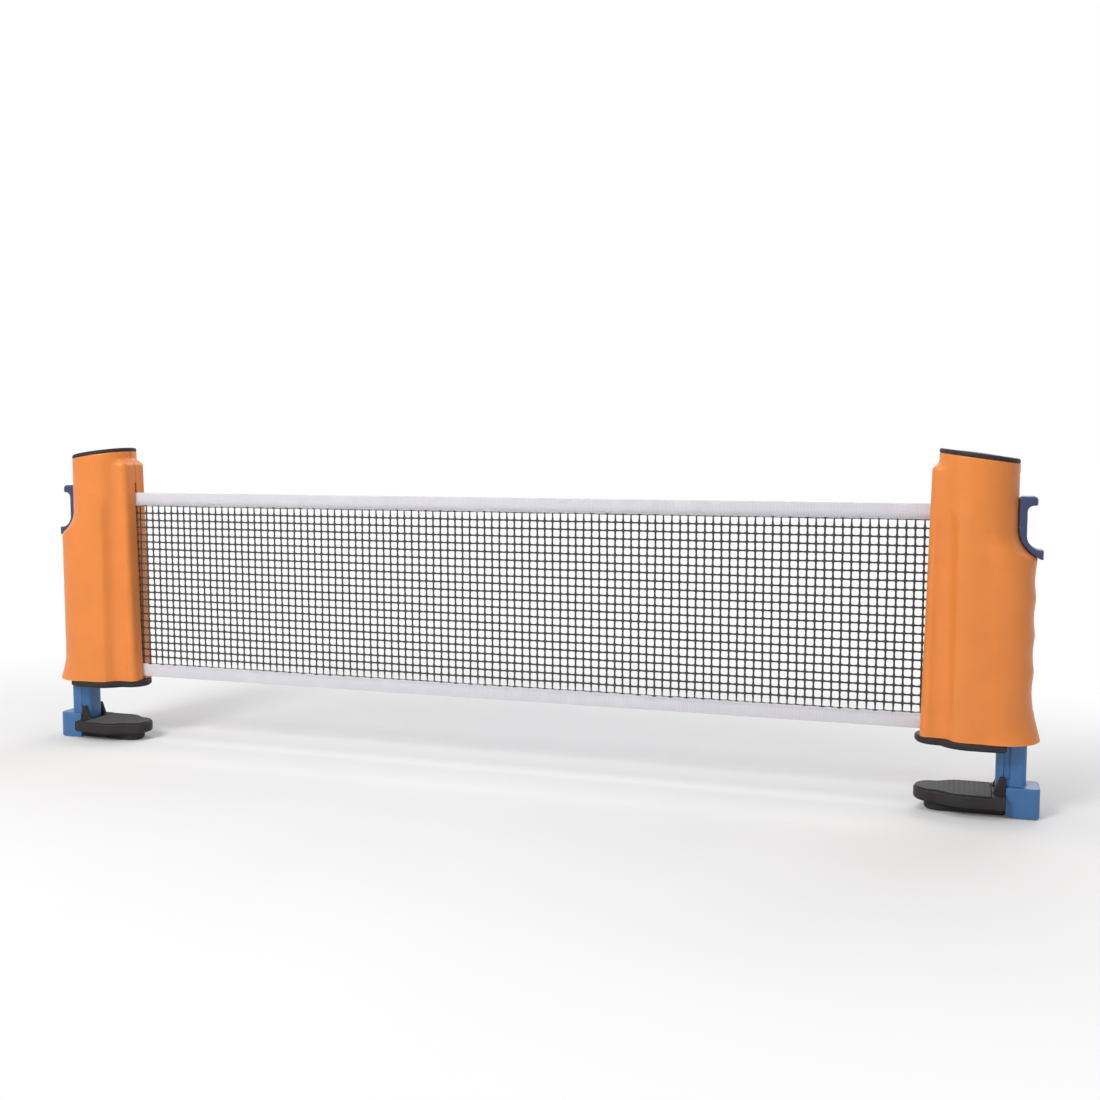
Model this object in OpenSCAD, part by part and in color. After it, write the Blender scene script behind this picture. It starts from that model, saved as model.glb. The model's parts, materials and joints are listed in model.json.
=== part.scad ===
// Retractable table tennis net set: two sprung clamp posts with the net wound on a roller in each.
// Right post in local coordinates: X runs outward from the nose (net slot) face, Z up from the jaw's underside.

/* [Table clamp] */
// Thickest table top that the open jaw takes
table_max = 29.5; // [26:0.5:32]
// Gap left between the pads when the jaw is closed
closed_gap = 1.5; // [1:0.5:3]
// Height of the jaw at its tip, with its pad
jaw_h = 15; // [14:0.5:18]
// Thickness of each rubber pad
pad_t = 1; // [0.6:0.1:1.5]
// How far the jaw and the base reach past the net slot face
jaw_reach = 3.5; // [2:0.5:5]
// Half width of the jaw across the table edge
jaw_half = 20; // [17:0.5:22]
// Thickness of the rib under the jaw
jaw_rib_h = 6; // [4:0.5:7]
// How far behind the jaw's tip its rib starts
jaw_rib_back = 7; // [5:0.5:12]

/* [Post] */
// Depth of the post, front to rear
post_depth = 48; // [46:1:52]
// Length of the flat sides of the oval top
top_flat = 2; // [0:0.5:4]
// Slope of the top down to the outer side, in degrees
top_slope = 8; // [5:1:10]
// Wall of the moulded shells
wall = 2.4; // [2:0.1:2.6]
// Thickness of the top cap
cap_t = 4; // [3:0.5:6]
// Thickness of the base plate
plate_t = 4; // [3.5:0.5:6]
// How far the nose stands out from the oval at its shoulder
nose_step = 4; // [3:0.5:5]
// How far the nose leans out from its shoulder down to the base
nose_lean = 4; // [3:0.5:4.5]
// Half width of the nose
nose_half = 13.8; // [13:0.1:14.5]
// Drop from the middle of the cap's top to the top of the nose
shoulder_drop = 9; // [7:0.5:12]
// Radius of the flute between the nose and the barrel
flute_r = 5; // [4:0.5:5.5]

/* [Grip] */
// How far the grip stands out past the recess wall
grip_out = 12; // [10:0.5:13]
// Drop from the middle of the cap's top to the lip of the finger recess
recess_drop = 68; // [66:0.5:72]
// Number of finger waves down the grip
wave_count = 4; // [2:1:4]
// Radius of the sweep from the recess wall out to the grip
sweep_r = 22; // [20:0.5:24]
// Distance between finger waves
wave_pitch = 24; // [20:1:26]
// Depth of a finger wave
wave_depth = 1.2; // [0.6:0.1:1.4]
// How far the foot of the grip flares out
flare_out = 5; // [3:0.5:6]
// Height of the flare
flare_h = 24; // [18:1:30]

/* [Slider] */
// Length of the arm's section along the net
arm_len = 19; // [17:0.5:19.5]
// Width of the arm's section, front to rear
arm_w = 16; // [14:0.5:17]
// Corner radius of the arm
arm_corner = 5; // [3:0.5:6]
// Height of the block that holds the jaw
block_h = 20; // [18:0.5:21]
// Half width of the block
block_half = 12; // [11:0.5:13]
// Radius of the stem that carries the clamp spring
stem_r = 3.75; // [3.25:0.05:3.8]
// How far the lower lip of the trigger stands out from the recess wall
trigger_out = 14.8; // [13:0.1:16]
// How far its upper lip stands out
trigger_top_out = 11; // [9:0.1:13]
// Width of the trigger, front to rear
trigger_w = 15; // [12:0.5:18]
// Thickness of the trigger's bar against the recess wall
trigger_bar = 4.5; // [4:0.1:5]

/* [Clamp spring] */
// Wire thickness
spring_wire = 1.2; // [0.8:0.1:1.3]
// Number of curls
spring_curls = 12; // [8:1:14]

/* [Net] */
// Free net between the two slot faces
free_length = 610; // [500:5:900]
// Height of the net with its tapes
net_h = 150; // [140:1:160]
// Height of each tape
tape_h = 10.5; // [8:0.5:14]
// Drop from the middle of the cap's top to the top of the net
net_drop = 34; // [33:0.5:36]
// Height of the net's lower edge over the underside of the base
net_lift = 8; // [7.5:0.5:12]
// Thickness of a tape with the net inside it
tape_t = 1.6; // [1.2:0.1:1.8]
// Thickness of the net's cords
cord_t = 1; // [0.8:0.1:1.1]
// Rows of gaps in the net
net_rows = 8; // [4:1:8]
// Columns of gaps in the net
net_cols = 37; // [20:1:37]

/* [Roller] */
// Radius of the roller tube
tube_r = 7; // [6.5:0.1:7.5]
// Wall of the roller tube
tube_wall = 1.5; // [1.3:0.1:1.8]
// Radius of the net wound on the roller
roll_r = 13.6; // [11:0.1:14]
// Radius of the fixed arbor and of the lower pivot pin
arbor_r = 2.5; // [2:0.1:2.8]

/* [Hidden] */
SIDES = ["left", "right"];
PIECES = [
    "shell_front", "shell_rear", "top_cap", "base_plate", "base_pad", "base_screws", "shell_screws",
    "slider", "trigger", "trigger_screw", "jaw_plate", "jaw_pad", "jaw_screws", "clamp_spring",
    "roller_tube", "top_bush", "bottom_bush", "spring_arbor", "return_spring", "net_roll", "net_bar",
];

$fn = 64;
eps = 1;                     // how far a cut runs past the face that it opens
fit = 0.3;                   // gap between pieces that slide past each other
run_fit = 0.05;              // radial clearance of a turning fit
seat_fit = 0.15;             // gap round the jaw's tenon

// Levels
travel = table_max - closed_gap;
z_base = jaw_h + table_max;
z_plate = z_base + pad_t;
z_shell = z_plate + plate_t;
z_net = z_base + net_lift;
z_net_top = z_net + net_h;
z_top = z_net_top + net_drop;
z_cap = z_top - cap_t;
z_shoulder = z_top - shoulder_drop;
z_recess = z_top - recess_drop;

// Plan of the post
barrel_front = nose_step + nose_lean;
roll_back = 16;
roll_x = barrel_front + roll_back;
barrel_r = post_depth / 2;
barrel_x0 = barrel_front + barrel_r;
barrel_x1 = barrel_x0 + top_flat;
recess_x = barrel_x1 + barrel_r;
top_mid_x = (barrel_front + recess_x) / 2;
top_rise = (recess_x - barrel_front) * tan(top_slope);
grip_x = barrel_x1 + grip_out;
grip_end = recess_x + grip_out;
nose_corner = 5;
flute_bite = 1;
flute_y = nose_half + flute_r;
flute_x = barrel_x0 - sqrt(pow(barrel_r + flute_r - flute_bite, 2) - pow(flute_y, 2));
flute_drop = 8;
flare_r = 20;
sweep_x = recess_x + sweep_r;
sweep_z = z_recess + sqrt(pow(sweep_r, 2) - pow(sweep_r - grip_out, 2));
first_wave = 14;

// Slider and its guides
arm_x1 = grip_end - wall - 2 * fit;
arm_x0 = arm_x1 - arm_len;
arm_groove_r = 2.4;
arm_groove_out = 0.8;
floor_t = 3;
guide_t = 4;
guide_rise = 25;
arm_in_post = 42.5;
arm_spare = 4;
bulkhead_t = 5;
z_guide = z_shell + guide_rise;
z_arm_top = z_shell + arm_in_post;
z_bulkhead = z_arm_top + travel + arm_spare;
stem_back = 6.1;
stem_x = recess_x - wall - stem_back;
head_w = 13.6;
head_h = 13;
head_drop = 5;
head_lip = 1.7;
z_head = sweep_z - head_drop;
head_x0 = stem_x - stem_r - head_lip;
head_x1 = recess_x - wall - fit;
tongue_w = 7.6;
tongue_in = 2;
trigger_x0 = recess_x + fit;
trigger_x1 = trigger_x0 + trigger_out;
z_trigger_top = z_top - travel - fit;
trigger_lip_t = 6;
trigger_lip_rise = 5.5;
finger_low_r = 9;
finger_high_r = 4;
screw_r = 1.4;
screw_head_r = 2.7;
screw_head_h = 2;
stem_screw_len = 11;

// Jaw and block
block_step = 6.5;
block_x0 = arm_x0 + block_step;
block_x1 = grip_end + flare_out + 2 * fit;
block_corner = 6;
gusset_out = 2;
gusset_x0 = arm_x0 - gusset_out;
gusset_h = 11;
gusset_top = 4;
gusset_t = 3;
jaw_rib_r = 9;
jaw_wide_x = roll_x + gusset_top;
pad_inset = 1.2;
tenon_len = 10;
tenon_half = 7;
tenon_h = 7;
jaw_screw_x = block_x0 + tenon_len / 2;
jaw_screw_roof = 3;
jaw_screw_y = 3.5;

// Base
base_end = block_x0 - fit;
base_notch_x = gusset_x0 - fit;
base_notch_half = max(arm_w / 2 + fit + gusset_t, block_half) + fit;
boss_r = 3.4;
nose_screw_in = 4.5;
side_screw_in = 6.5;
base_screw_spots = [
    [nose_screw_in, nose_half - nose_corner],
    [barrel_x1 + boss_r, barrel_r - side_screw_in],
];
base_screw_len = 14;
screw_drop = 20.5;
front_screw_in = 5;
mid_screw_out = 12;
screw_seat_y = 9;
screw_tip_y = 13;
shell_screw_spots = [
    [barrel_front + front_screw_in, z_top - screw_drop],
    [roll_x + mid_screw_out, z_top - screw_drop],
    [(recess_x + grip_end) / 2 - boss_r / 3, (z_bulkhead + bulkhead_t + z_recess) / 2],
];

// Roller
roll_bore_r = roll_r + 2;
tube_under = 1;
z_tube = z_net - tube_under;
z_tube_top = z_net_top;
flange_t = 1;
bush_flange_r = tube_r - fit;
bush_depth = 8;
plug_depth = 5;
pivot_floor = 0.8;
collar_t = 2;
collar_out = 2;
cap_boss_r = 6;
z_cap_boss = z_tube_top + flange_t + fit + collar_t;
z_arbor_low = z_net + net_h * 0.4;
return_gap = 0.5;
return_low = 4;
return_high = 8;
bar_t = 1.1;
bar_half = 1.5;
slot_w = tape_t + 2 * fit;
slot_over = 8;
lead_t = 0.8;
lead_x = roll_x - roll_bore_r;
lead_r = roll_r + fit + lead_t / 2;
lead_angle = asin(lead_r / (roll_x - lead_x));
lead_len = sqrt(pow(roll_x - lead_x, 2) - pow(lead_r, 2));

// Clamp spring
spring_gap = 0.5;
spring_mean_r = stem_r + spring_gap + spring_wire / 2;
spring_rings = 8;
spring_sides = 6;
z_spring = z_bulkhead + bulkhead_t + fit;
spring_len = z_head - fit - z_spring;

ORANGE = "#E8823A";
BLACK = "#2A2426";
BLUE = "#3A6EA5";
NAVY = "#3A4F86";
STEEL = "#B8BCC0";
RUBBER = "#1C1B1D";
WHITE = "#ECEAF0";
CORD = "#2E2D33";
PLASTIC = "#D9D9D4";

// ---------- placing ----------

module on_post(side) {
    mirror([side == "left" ? 1 : 0, 0, 0])
        translate([free_length / 2, 0, 0])
            children();
}

module block_between(low, high) {
    translate(low)
        cube(high - low);
}

// Rod along Y through (x, z), from y0 to y1
module rod_y(x, z, y0, y1, r) {
    translate([x, y1, z])
        rotate([90, 0, 0])
            cylinder(r = r, h = y1 - y0);
}

module ring(outer, inner, z0, z1) {
    translate([0, 0, z0])
        difference() {
            cylinder(r = outer, h = z1 - z0);
            translate([0, 0, -eps])
                cylinder(r = inner, h = z1 - z0 + 2 * eps);
        }
}

// ---------- plans ----------

module oval_plan(x0, x1, r) {
    for (x = [x0, x1])
        translate([x, 0])
            circle(r = r);
    translate([x0, -r])
        square([x1 - x0, 2 * r]);
}

module barrel_plan(inset) {
    oval_plan(barrel_x0, barrel_x1, barrel_r - inset);
}

module grip_plan(inset) {
    oval_plan(barrel_x0, grip_x, barrel_r - inset);
}

module nose_plan() {
    for (y = [-1, 1])
        translate([nose_corner, y * (nose_half - nose_corner)])
            circle(r = nose_corner);
    translate([0, -nose_half + nose_corner])
        square([barrel_x0, 2 * (nose_half - nose_corner)]);
    translate([nose_corner, -nose_half])
        square([barrel_x0 - nose_corner, 2 * nose_half]);
}

module rounded_plan(x0, x1, half, r) {
    for (x = [x0 + r, x1 - r], y = [-half + r, half - r])
        translate([x, y])
            circle(r = r);
    translate([x0 + r, -half])
        square([x1 - x0 - 2 * r, 2 * half]);
    translate([x0, -half + r])
        square([x1 - x0, 2 * (half - r)]);
}

module base_plan(inset) {
    difference() {
        union() {
            intersection() {
                grip_plan(inset);
                translate([-jaw_reach, -barrel_r])
                    square([base_end - inset + jaw_reach, 2 * barrel_r]);
            }
            oval_plan(nose_half - jaw_reach, barrel_x0, nose_half - inset);
        }
        translate([base_notch_x - inset, -base_notch_half - inset])
            square([base_end, 2 * (base_notch_half + inset)]);
    }
}

// ---------- sloping top ----------

// Everything under the sloping plane that has this level at the middle of the top
module under_slope(level) {
    translate([top_mid_x, 0, level])
        rotate([0, top_slope, 0])
            block_between([-z_top, -z_top, -z_top], [z_top, z_top, 0]);
}

// Upright prism of a plan between two sloping planes
module sloped_prism(low, high) {
    difference() {
        intersection() {
            translate([0, 0, low - top_rise])
                linear_extrude(high - low + 2 * top_rise)
                    children();
            under_slope(high);
        }
        under_slope(low);
    }
}

// ---------- moulded shells ----------

module finger_waves() {
    wave_r = (pow(wave_pitch * 0.42, 2) + pow(wave_depth, 2)) / (2 * wave_depth);
    for (i = [0:wave_count - 1])
        translate([barrel_x1, 0, z_recess - first_wave - i * wave_pitch])
            rotate([0, 0, -90])
                rotate_extrude(angle = 180)
                    translate([grip_end - barrel_x1 - wave_depth + wave_r, 0])
                        circle(r = wave_r);
}

// Hollow that sweeps from the recess wall out to the lip of the grip
module recess_sweep(r) {
    translate([barrel_x1, 0, sweep_z])
        rotate([0, 0, -90])
            rotate_extrude(angle = 180)
                translate([barrel_r + sweep_r, 0])
                    circle(r = r);
}

module grip_body() {
    difference() {
        translate([0, 0, z_shell])
            linear_extrude(sweep_z - z_shell)
                grip_plan(0);
        recess_sweep(sweep_r);
        finger_waves();
    }
    translate([grip_end - flare_r, 0, z_shell])
        cylinder(r1 = flare_r + flare_out, r2 = flare_r, h = flare_h);
}

module leaning_nose() {
    nose_h = z_shoulder - z_shell;
    intersection() {
        translate([0, 0, z_shell])
            rotate([0, atan(nose_lean / nose_h), 0])
                translate([0, 0, -nose_corner])
                    linear_extrude(nose_h + 2 * nose_corner)
                        nose_plan();
        block_between([-eps, -barrel_r, z_shell], [barrel_x0, barrel_r, z_shoulder]);
    }
}

module post_body() {
    intersection() {
        translate([0, 0, z_shell])
            linear_extrude(z_cap + top_rise - z_shell)
                barrel_plan(0);
        under_slope(z_cap);
    }
    leaning_nose();
    grip_body();
}

// Room inside the shells, in bays that leave the floor, the arm guide and the spring bulkhead
module bays() {
    grip_bays = [
        [z_shell + floor_t, z_guide],
        [z_guide + guide_t, z_bulkhead],
        [z_bulkhead + bulkhead_t, sweep_z],
    ];
    difference() {
        for (bay = grip_bays)
            translate([0, 0, bay[0]])
                linear_extrude(bay[1] - bay[0])
                    grip_plan(wall);
        recess_sweep(sweep_r + wall);
    }
    translate([0, 0, z_bulkhead + bulkhead_t])
        linear_extrude(z_cap + top_rise - z_bulkhead - bulkhead_t)
            barrel_plan(wall);
}

module screw_bosses() {
    for (spot = shell_screw_spots)
        rod_y(spot[0], spot[1], -barrel_r, barrel_r, boss_r);
    for (y = [-1, 1])
        translate([base_screw_spots[1][0], y * base_screw_spots[1][1], z_shell])
            cylinder(r = boss_r, h = base_screw_len + floor_t);
}

module shell_cuts() {
    // bore for the wound net
    translate([roll_x, 0, z_shell - eps])
        cylinder(r = roll_bore_r, h = z_net_top + slot_over + eps - z_shell);
    // slot that the net leaves by
    block_between([-eps, -slot_w / 2, z_shell - eps], [lead_x + eps, slot_w / 2, z_net_top + slot_over]);
    // flutes
    for (y = [-1, 1])
        translate([flute_x, y * flute_y, z_shell - eps])
            cylinder(r = flute_r, h = z_shoulder - flute_drop - z_shell);
    // way of the arm and of the jaw's cheeks
    translate([0, 0, z_shell - eps])
        linear_extrude(z_guide + guide_t + 2 * eps - z_shell)
            rounded_plan(arm_x0 - fit, arm_x1 + fit, arm_w / 2 + fit, arm_corner + fit);
    block_between([base_notch_x, -base_notch_half, z_shell - eps],
        [block_x0 + fit, base_notch_half, z_shell + floor_t + eps]);
    // way of the stem and of the trigger's tongue
    translate([stem_x, 0, z_bulkhead - eps])
        cylinder(r = stem_r + fit, h = bulkhead_t + 2 * eps);
    block_between([recess_x - wall - eps, -tongue_w / 2 - fit, z_head + tongue_in - fit],
        [recess_x + eps, tongue_w / 2 + fit, z_head + head_h - tongue_in + travel + 2 * fit]);
    // screw holes
    for (spot = shell_screw_spots) {
        rod_y(spot[0], spot[1], -screw_tip_y, barrel_r + eps, screw_r);
        rod_y(spot[0], spot[1], screw_seat_y, barrel_r + eps, screw_head_r + fit);
    }
    for (spot = base_screw_spots, y = [-1, 1])
        translate([spot[0], y * spot[1], z_shell - eps])
            cylinder(r = screw_r, h = base_screw_len + eps);
}

module shell(keep_front) {
    color(ORANGE)
        difference() {
            union() {
                difference() {
                    post_body();
                    bays();
                }
                intersection() {
                    post_body();
                    screw_bosses();
                }
            }
            shell_cuts();
            block_between([-barrel_r, keep_front ? 0 : -2 * barrel_r, 0],
                [grip_end + barrel_r, keep_front ? 2 * barrel_r : 0, z_top + barrel_r]);
        }
}

module shell_screws() {
    color(STEEL)
        for (spot = shell_screw_spots) {
            rod_y(spot[0], spot[1], fit - screw_tip_y, screw_seat_y, screw_r);
            rod_y(spot[0], spot[1], screw_seat_y, screw_seat_y + screw_head_h, screw_head_r);
        }
}

module top_cap() {
    step = 1;
    rim_h = 3;
    rim_t = 1.6;
    boss_end = z_cap + (top_mid_x - roll_x) * tan(top_slope) + cap_t / 2;
    color(BLACK)
        difference() {
            union() {
                sloped_prism(z_cap, z_top - step)
                    barrel_plan(0);
                sloped_prism(z_top - step, z_top)
                    barrel_plan(step);
                sloped_prism(z_cap - rim_h, z_cap)
                    difference() {
                        barrel_plan(wall + fit);
                        barrel_plan(wall + fit + rim_t);
                    }
                translate([roll_x, 0, z_cap_boss])
                    cylinder(r = cap_boss_r, h = boss_end - z_cap_boss);
            }
            translate([roll_x, 0, z_cap_boss - eps])
                cylinder(r = arbor_r, h = z_cap - z_cap_boss + eps);
        }
}

// ---------- base ----------

module base_plate() {
    color(BLACK)
        difference() {
            translate([0, 0, z_plate])
                linear_extrude(plate_t)
                    base_plan(0);
            translate([roll_x, 0, z_plate + pivot_floor])
                cylinder(r = arbor_r + run_fit, h = plate_t);
            for (spot = base_screw_spots, y = [-1, 1])
                translate([spot[0], y * spot[1], z_plate - eps]) {
                    cylinder(r = screw_r, h = plate_t + 2 * eps);
                    cylinder(r = screw_head_r + fit, h = screw_head_h + fit + eps);
                }
        }
}

module base_pad() {
    color(RUBBER)
        translate([0, 0, z_base])
            linear_extrude(pad_t)
                base_plan(pad_inset);
}

module base_screws() {
    color(STEEL)
        for (spot = base_screw_spots, y = [-1, 1])
            translate([spot[0], y * spot[1], z_plate + fit]) {
                cylinder(r = screw_head_r, h = screw_head_h);
                cylinder(r = screw_r, h = plate_t + base_screw_len - 2 * fit);
            }
}

// ---------- slider, trigger and spring ----------

module slider() {
    color(BLUE)
        difference() {
            union() {
                translate([0, 0, jaw_h])
                    linear_extrude(z_arm_top - jaw_h)
                        rounded_plan(arm_x0, arm_x1, arm_w / 2, arm_corner);
                difference() {
                    linear_extrude(block_h)
                        rounded_plan(block_x0 - block_corner, block_x1, block_half, block_corner);
                    block_between([0, -barrel_r, -eps], [block_x0, barrel_r, block_h + eps]);
                }
                translate([stem_x, 0, z_arm_top - eps])
                    cylinder(r = stem_r, h = z_head + head_h + eps - z_arm_top);
            }
            // grooves down the arm's front and rear
            for (y = [-1, 1])
                translate([arm_x0 + arm_len * 0.36, y * (arm_w / 2 + arm_groove_out), block_h + arm_spare])
                    cylinder(r = arm_groove_r, h = z_arm_top - block_h);
            // pocket for the jaw's tenon
            block_between([block_x0 - eps, -tenon_half - seat_fit, jaw_rib_h - seat_fit],
                [block_x0 + tenon_len + fit, tenon_half + seat_fit, jaw_rib_h + tenon_h + seat_fit]);
            for (y = [-1, 1])
                translate([jaw_screw_x, y * jaw_screw_y, -eps]) {
                    cylinder(r = screw_r, h = block_h - jaw_screw_roof + eps);
                    cylinder(r = screw_head_r + seat_fit, h = screw_head_h + pad_t + eps);
                }
            translate([stem_x, 0, z_head + head_h - stem_screw_len - fit])
                cylinder(r = screw_r, h = stem_screw_len + fit + eps);
        }
}

// Side view of the finger hook, as X and Z: it follows the sweep of the recess and then its wall
module trigger_hook() {
    lip_r = trigger_lip_t / 2;
    difference() {
        union() {
            intersection() {
                translate([sweep_x, sweep_z])
                    circle(r = sweep_r - fit);
                translate([trigger_x0, sweep_z - sweep_r])
                    square([trigger_out, sweep_r]);
            }
            translate([trigger_x0, sweep_z - eps])
                square([trigger_top_out - lip_r, z_trigger_top - sweep_z + eps]);
            translate([trigger_x0 + trigger_top_out - lip_r, z_trigger_top - lip_r])
                circle(r = lip_r);
        }
        finger_hollow();
    }
}

module finger_hollow() {
    x0 = trigger_x0 + trigger_bar;
    x1 = trigger_x1 + eps;
    z0 = z_recess + trigger_lip_rise;
    z1 = z_trigger_top - trigger_lip_t;
    translate([x0 + finger_low_r, z0 + finger_low_r])
        circle(r = finger_low_r);
    translate([x0 + finger_high_r, z1 - finger_high_r])
        circle(r = finger_high_r);
    polygon([[x0, z0 + finger_low_r], [x0 + finger_low_r, z0], [x1, z0], [x1, z1],
        [x0 + finger_high_r, z1], [x0, z1 - finger_high_r]]);
}

module trigger() {
    color(NAVY)
        difference() {
            union() {
                translate([0, trigger_w / 2, 0])
                    rotate([90, 0, 0])
                        linear_extrude(trigger_w)
                            trigger_hook();
                translate([0, 0, z_head])
                    linear_extrude(head_h)
                        intersection() {
                            barrel_plan(wall + fit);
                            translate([head_x0, -head_w / 2])
                                square([head_x1 - head_x0, head_w]);
                        }
                block_between([head_x1 - eps, -tongue_w / 2, z_head + tongue_in],
                    [trigger_x0 + eps, tongue_w / 2, z_head + head_h - tongue_in]);
            }
            translate([stem_x, 0, z_head - eps])
                cylinder(r = stem_r, h = head_h + 2 * eps);
        }
}

module trigger_screw() {
    color(STEEL)
        translate([stem_x, 0, z_head + head_h]) {
            cylinder(r = stem_r + spring_gap, h = screw_head_h);
            translate([0, 0, -stem_screw_len])
                cylinder(r = screw_r, h = stem_screw_len + eps);
        }
}

module jaw_plate() {
    land = jaw_h - pad_t;
    color(BLACK)
        difference() {
            union() {
                translate([0, 0, jaw_rib_h])
                    linear_extrude(land - jaw_rib_h)
                        jaw_plan(0);
                block_between([gusset_x0, -jaw_half, land - eps], [block_x0, jaw_half, jaw_h]);
                linear_extrude(jaw_rib_h + eps)
                    oval_plan(jaw_rib_back - jaw_reach + jaw_rib_r, block_x0 - jaw_rib_r, jaw_rib_r);
                linear_extrude(jaw_rib_h + eps)
                    translate([block_x0 - jaw_rib_r, -jaw_rib_r])
                        square([jaw_rib_r, 2 * jaw_rib_r]);
                block_between([block_x0 - eps, -tenon_half, jaw_rib_h],
                    [block_x0 + tenon_len, tenon_half, jaw_rib_h + tenon_h]);
                for (y = [-1, 1])
                    translate([0, y * (arm_w / 2 + fit + gusset_t / 2) + gusset_t / 2, 0])
                        rotate([90, 0, 0])
                            linear_extrude(gusset_t)
                                polygon([[gusset_x0, jaw_h - eps], [block_x0, jaw_h - eps],
                                    [block_x0, jaw_h + gusset_h], [block_x0 - gusset_top, jaw_h + gusset_h]]);
            }
            for (y = [-1, 1])
                translate([jaw_screw_x, y * jaw_screw_y, 0])
                    cylinder(r = screw_r, h = jaw_h);
        }
}

module jaw_plan(inset) {
    tip_half = nose_half - 1;
    oval_plan(tip_half - jaw_reach, jaw_wide_x, tip_half - inset);
    translate([jaw_wide_x, 0])
        circle(r = jaw_half - inset);
    translate([jaw_wide_x, -jaw_half + inset])
        square([block_x0 - jaw_wide_x - inset, 2 * (jaw_half - inset)]);
}

module jaw_pad() {
    color(RUBBER)
        translate([0, 0, jaw_h - pad_t])
            linear_extrude(pad_t)
                intersection() {
                    jaw_plan(pad_inset);
                    translate([-jaw_reach, -jaw_half])
                        square([gusset_x0 - fit + jaw_reach, 2 * jaw_half]);
                }
}

module jaw_screws() {
    color(STEEL)
        for (y = [-1, 1])
            translate([jaw_screw_x, y * jaw_screw_y, pad_t]) {
                cylinder(r = screw_head_r, h = screw_head_h);
                cylinder(r = screw_r, h = block_h - jaw_screw_roof - pad_t - fit);
            }
}

// Centre of ring i of a coil that climbs from 0 to rise
function coil_point(i, count, curls, r, rise) =
    [r * cos(360 * curls * i / count), r * sin(360 * curls * i / count), rise * i / count];

module coil(r, wire, rise, curls, rings, sides) {
    count = curls * rings;
    points = [
        for (i = [0:count], k = [0:sides - 1])
            let (turn = 360 * curls * i / count, around = 360 * k / sides, out = r + wire / 2 * cos(around))
                [out * cos(turn), out * sin(turn), rise * i / count + wire / 2 * sin(around)]
    ];
    skin = [
        for (i = [0:count - 1], k = [0:sides - 1])
            let (a = i * sides + k, b = i * sides + (k + 1) % sides)
                each [[a, b, a + sides], [b, b + sides, a + sides]]
    ];
    low_end = [for (k = [1:sides - 2]) [0, k + 1, k]];
    high_end = [for (k = [1:sides - 2]) [0, k, k + 1] + [1, 1, 1] * count * sides];
    polyhedron(points = points, faces = concat(skin, low_end, high_end), convexity = 10);
}

module clamp_spring() {
    rise = spring_len - spring_wire;
    count = spring_curls * spring_rings;
    centres = [for (i = [0:count]) coil_point(i, count, spring_curls, spring_mean_r, rise)];
    gaps = [
        for (i = [0:count], j = [i + spring_rings / 2:1:min(count, i + 2 * spring_rings)])
            norm(centres[i] - centres[j]) - spring_wire
    ];
    echo(clamp_spring_least_gap = min(gaps));
    color(STEEL)
        translate([stem_x, 0, z_spring + spring_wire / 2])
            coil(spring_mean_r, spring_wire, rise, spring_curls, spring_rings, spring_sides);
}

// ---------- roller ----------

module on_roller() {
    translate([roll_x, 0, 0])
        children();
}

module net_bar_space() {
    block_between([tube_r - bar_t, -bar_half, z_net], [tube_r + eps, bar_half, z_net_top]);
}

module roller_tube() {
    color(PLASTIC)
        on_roller()
            difference() {
                ring(tube_r, tube_r - tube_wall, z_tube, z_tube_top);
                net_bar_space();
            }
}

module net_bar() {
    color(BLACK)
        on_roller()
            intersection() {
                net_bar_space();
                ring(tube_r, tube_r - tube_wall, z_net, z_net_top);
            }
}

module net_roll() {
    color(CORD)
        on_roller()
            ring(roll_r, tube_r, z_net, z_net_top);
}

module top_bush() {
    plug_r = tube_r - tube_wall;
    color(PLASTIC)
        on_roller() {
            ring(plug_r, arbor_r + run_fit, z_tube_top - plug_depth, z_tube_top);
            ring(bush_flange_r, arbor_r + run_fit, z_tube_top, z_tube_top + flange_t);
        }
}

module bottom_bush() {
    color(PLASTIC)
        on_roller() {
            translate([0, 0, z_tube])
                cylinder(r = tube_r - tube_wall, h = bush_depth);
            translate([0, 0, z_shell + fit])
                cylinder(r = bush_flange_r, h = z_tube - z_shell - fit);
            translate([0, 0, z_plate + pivot_floor + fit])
                cylinder(r = arbor_r, h = z_tube - z_plate - pivot_floor - fit);
        }
}

module spring_arbor() {
    color(STEEL)
        on_roller() {
            translate([0, 0, z_arbor_low])
                cylinder(r = arbor_r, h = z_cap - z_arbor_low);
            translate([0, 0, z_tube_top + flange_t + fit])
                cylinder(r = arbor_r + collar_out, h = collar_t);
        }
}

module return_spring() {
    color(STEEL)
        on_roller()
            ring(tube_r - tube_wall - return_gap, arbor_r + return_gap, z_arbor_low + return_low,
                z_tube_top - return_high);
}

// ---------- net ----------

net_half = free_length / 2 + lead_x;

// The mesh between the tapes, as X and Z, with its gaps
module mesh_plan() {
    low = z_net + tape_h;
    high = z_net_top - tape_h;
    step_x = free_length / net_cols;
    step_z = (high - low) / net_rows;
    difference() {
        translate([-net_half, low])
            square([2 * net_half, high - low]);
        for (i = [0:net_cols - 1], j = [0:net_rows - 1])
            translate([-free_length / 2 + i * step_x + cord_t / 2, low + j * step_z + cord_t / 2])
                square([step_x - cord_t, step_z - cord_t]);
    }
}

// The stretch of net inside one post, from its slot to the roll
module net_lead() {
    translate([lead_x, 0, z_net])
        rotate([0, 0, lead_angle])
            translate([0, -lead_t / 2, 0])
                cube([lead_len, lead_t, net_h]);
}

module net_mesh() {
    color(CORD) {
        translate([0, cord_t / 2, 0])
            rotate([90, 0, 0])
                linear_extrude(cord_t)
                    mesh_plan();
        for (side = SIDES)
            on_post(side)
                net_lead();
    }
}

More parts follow.
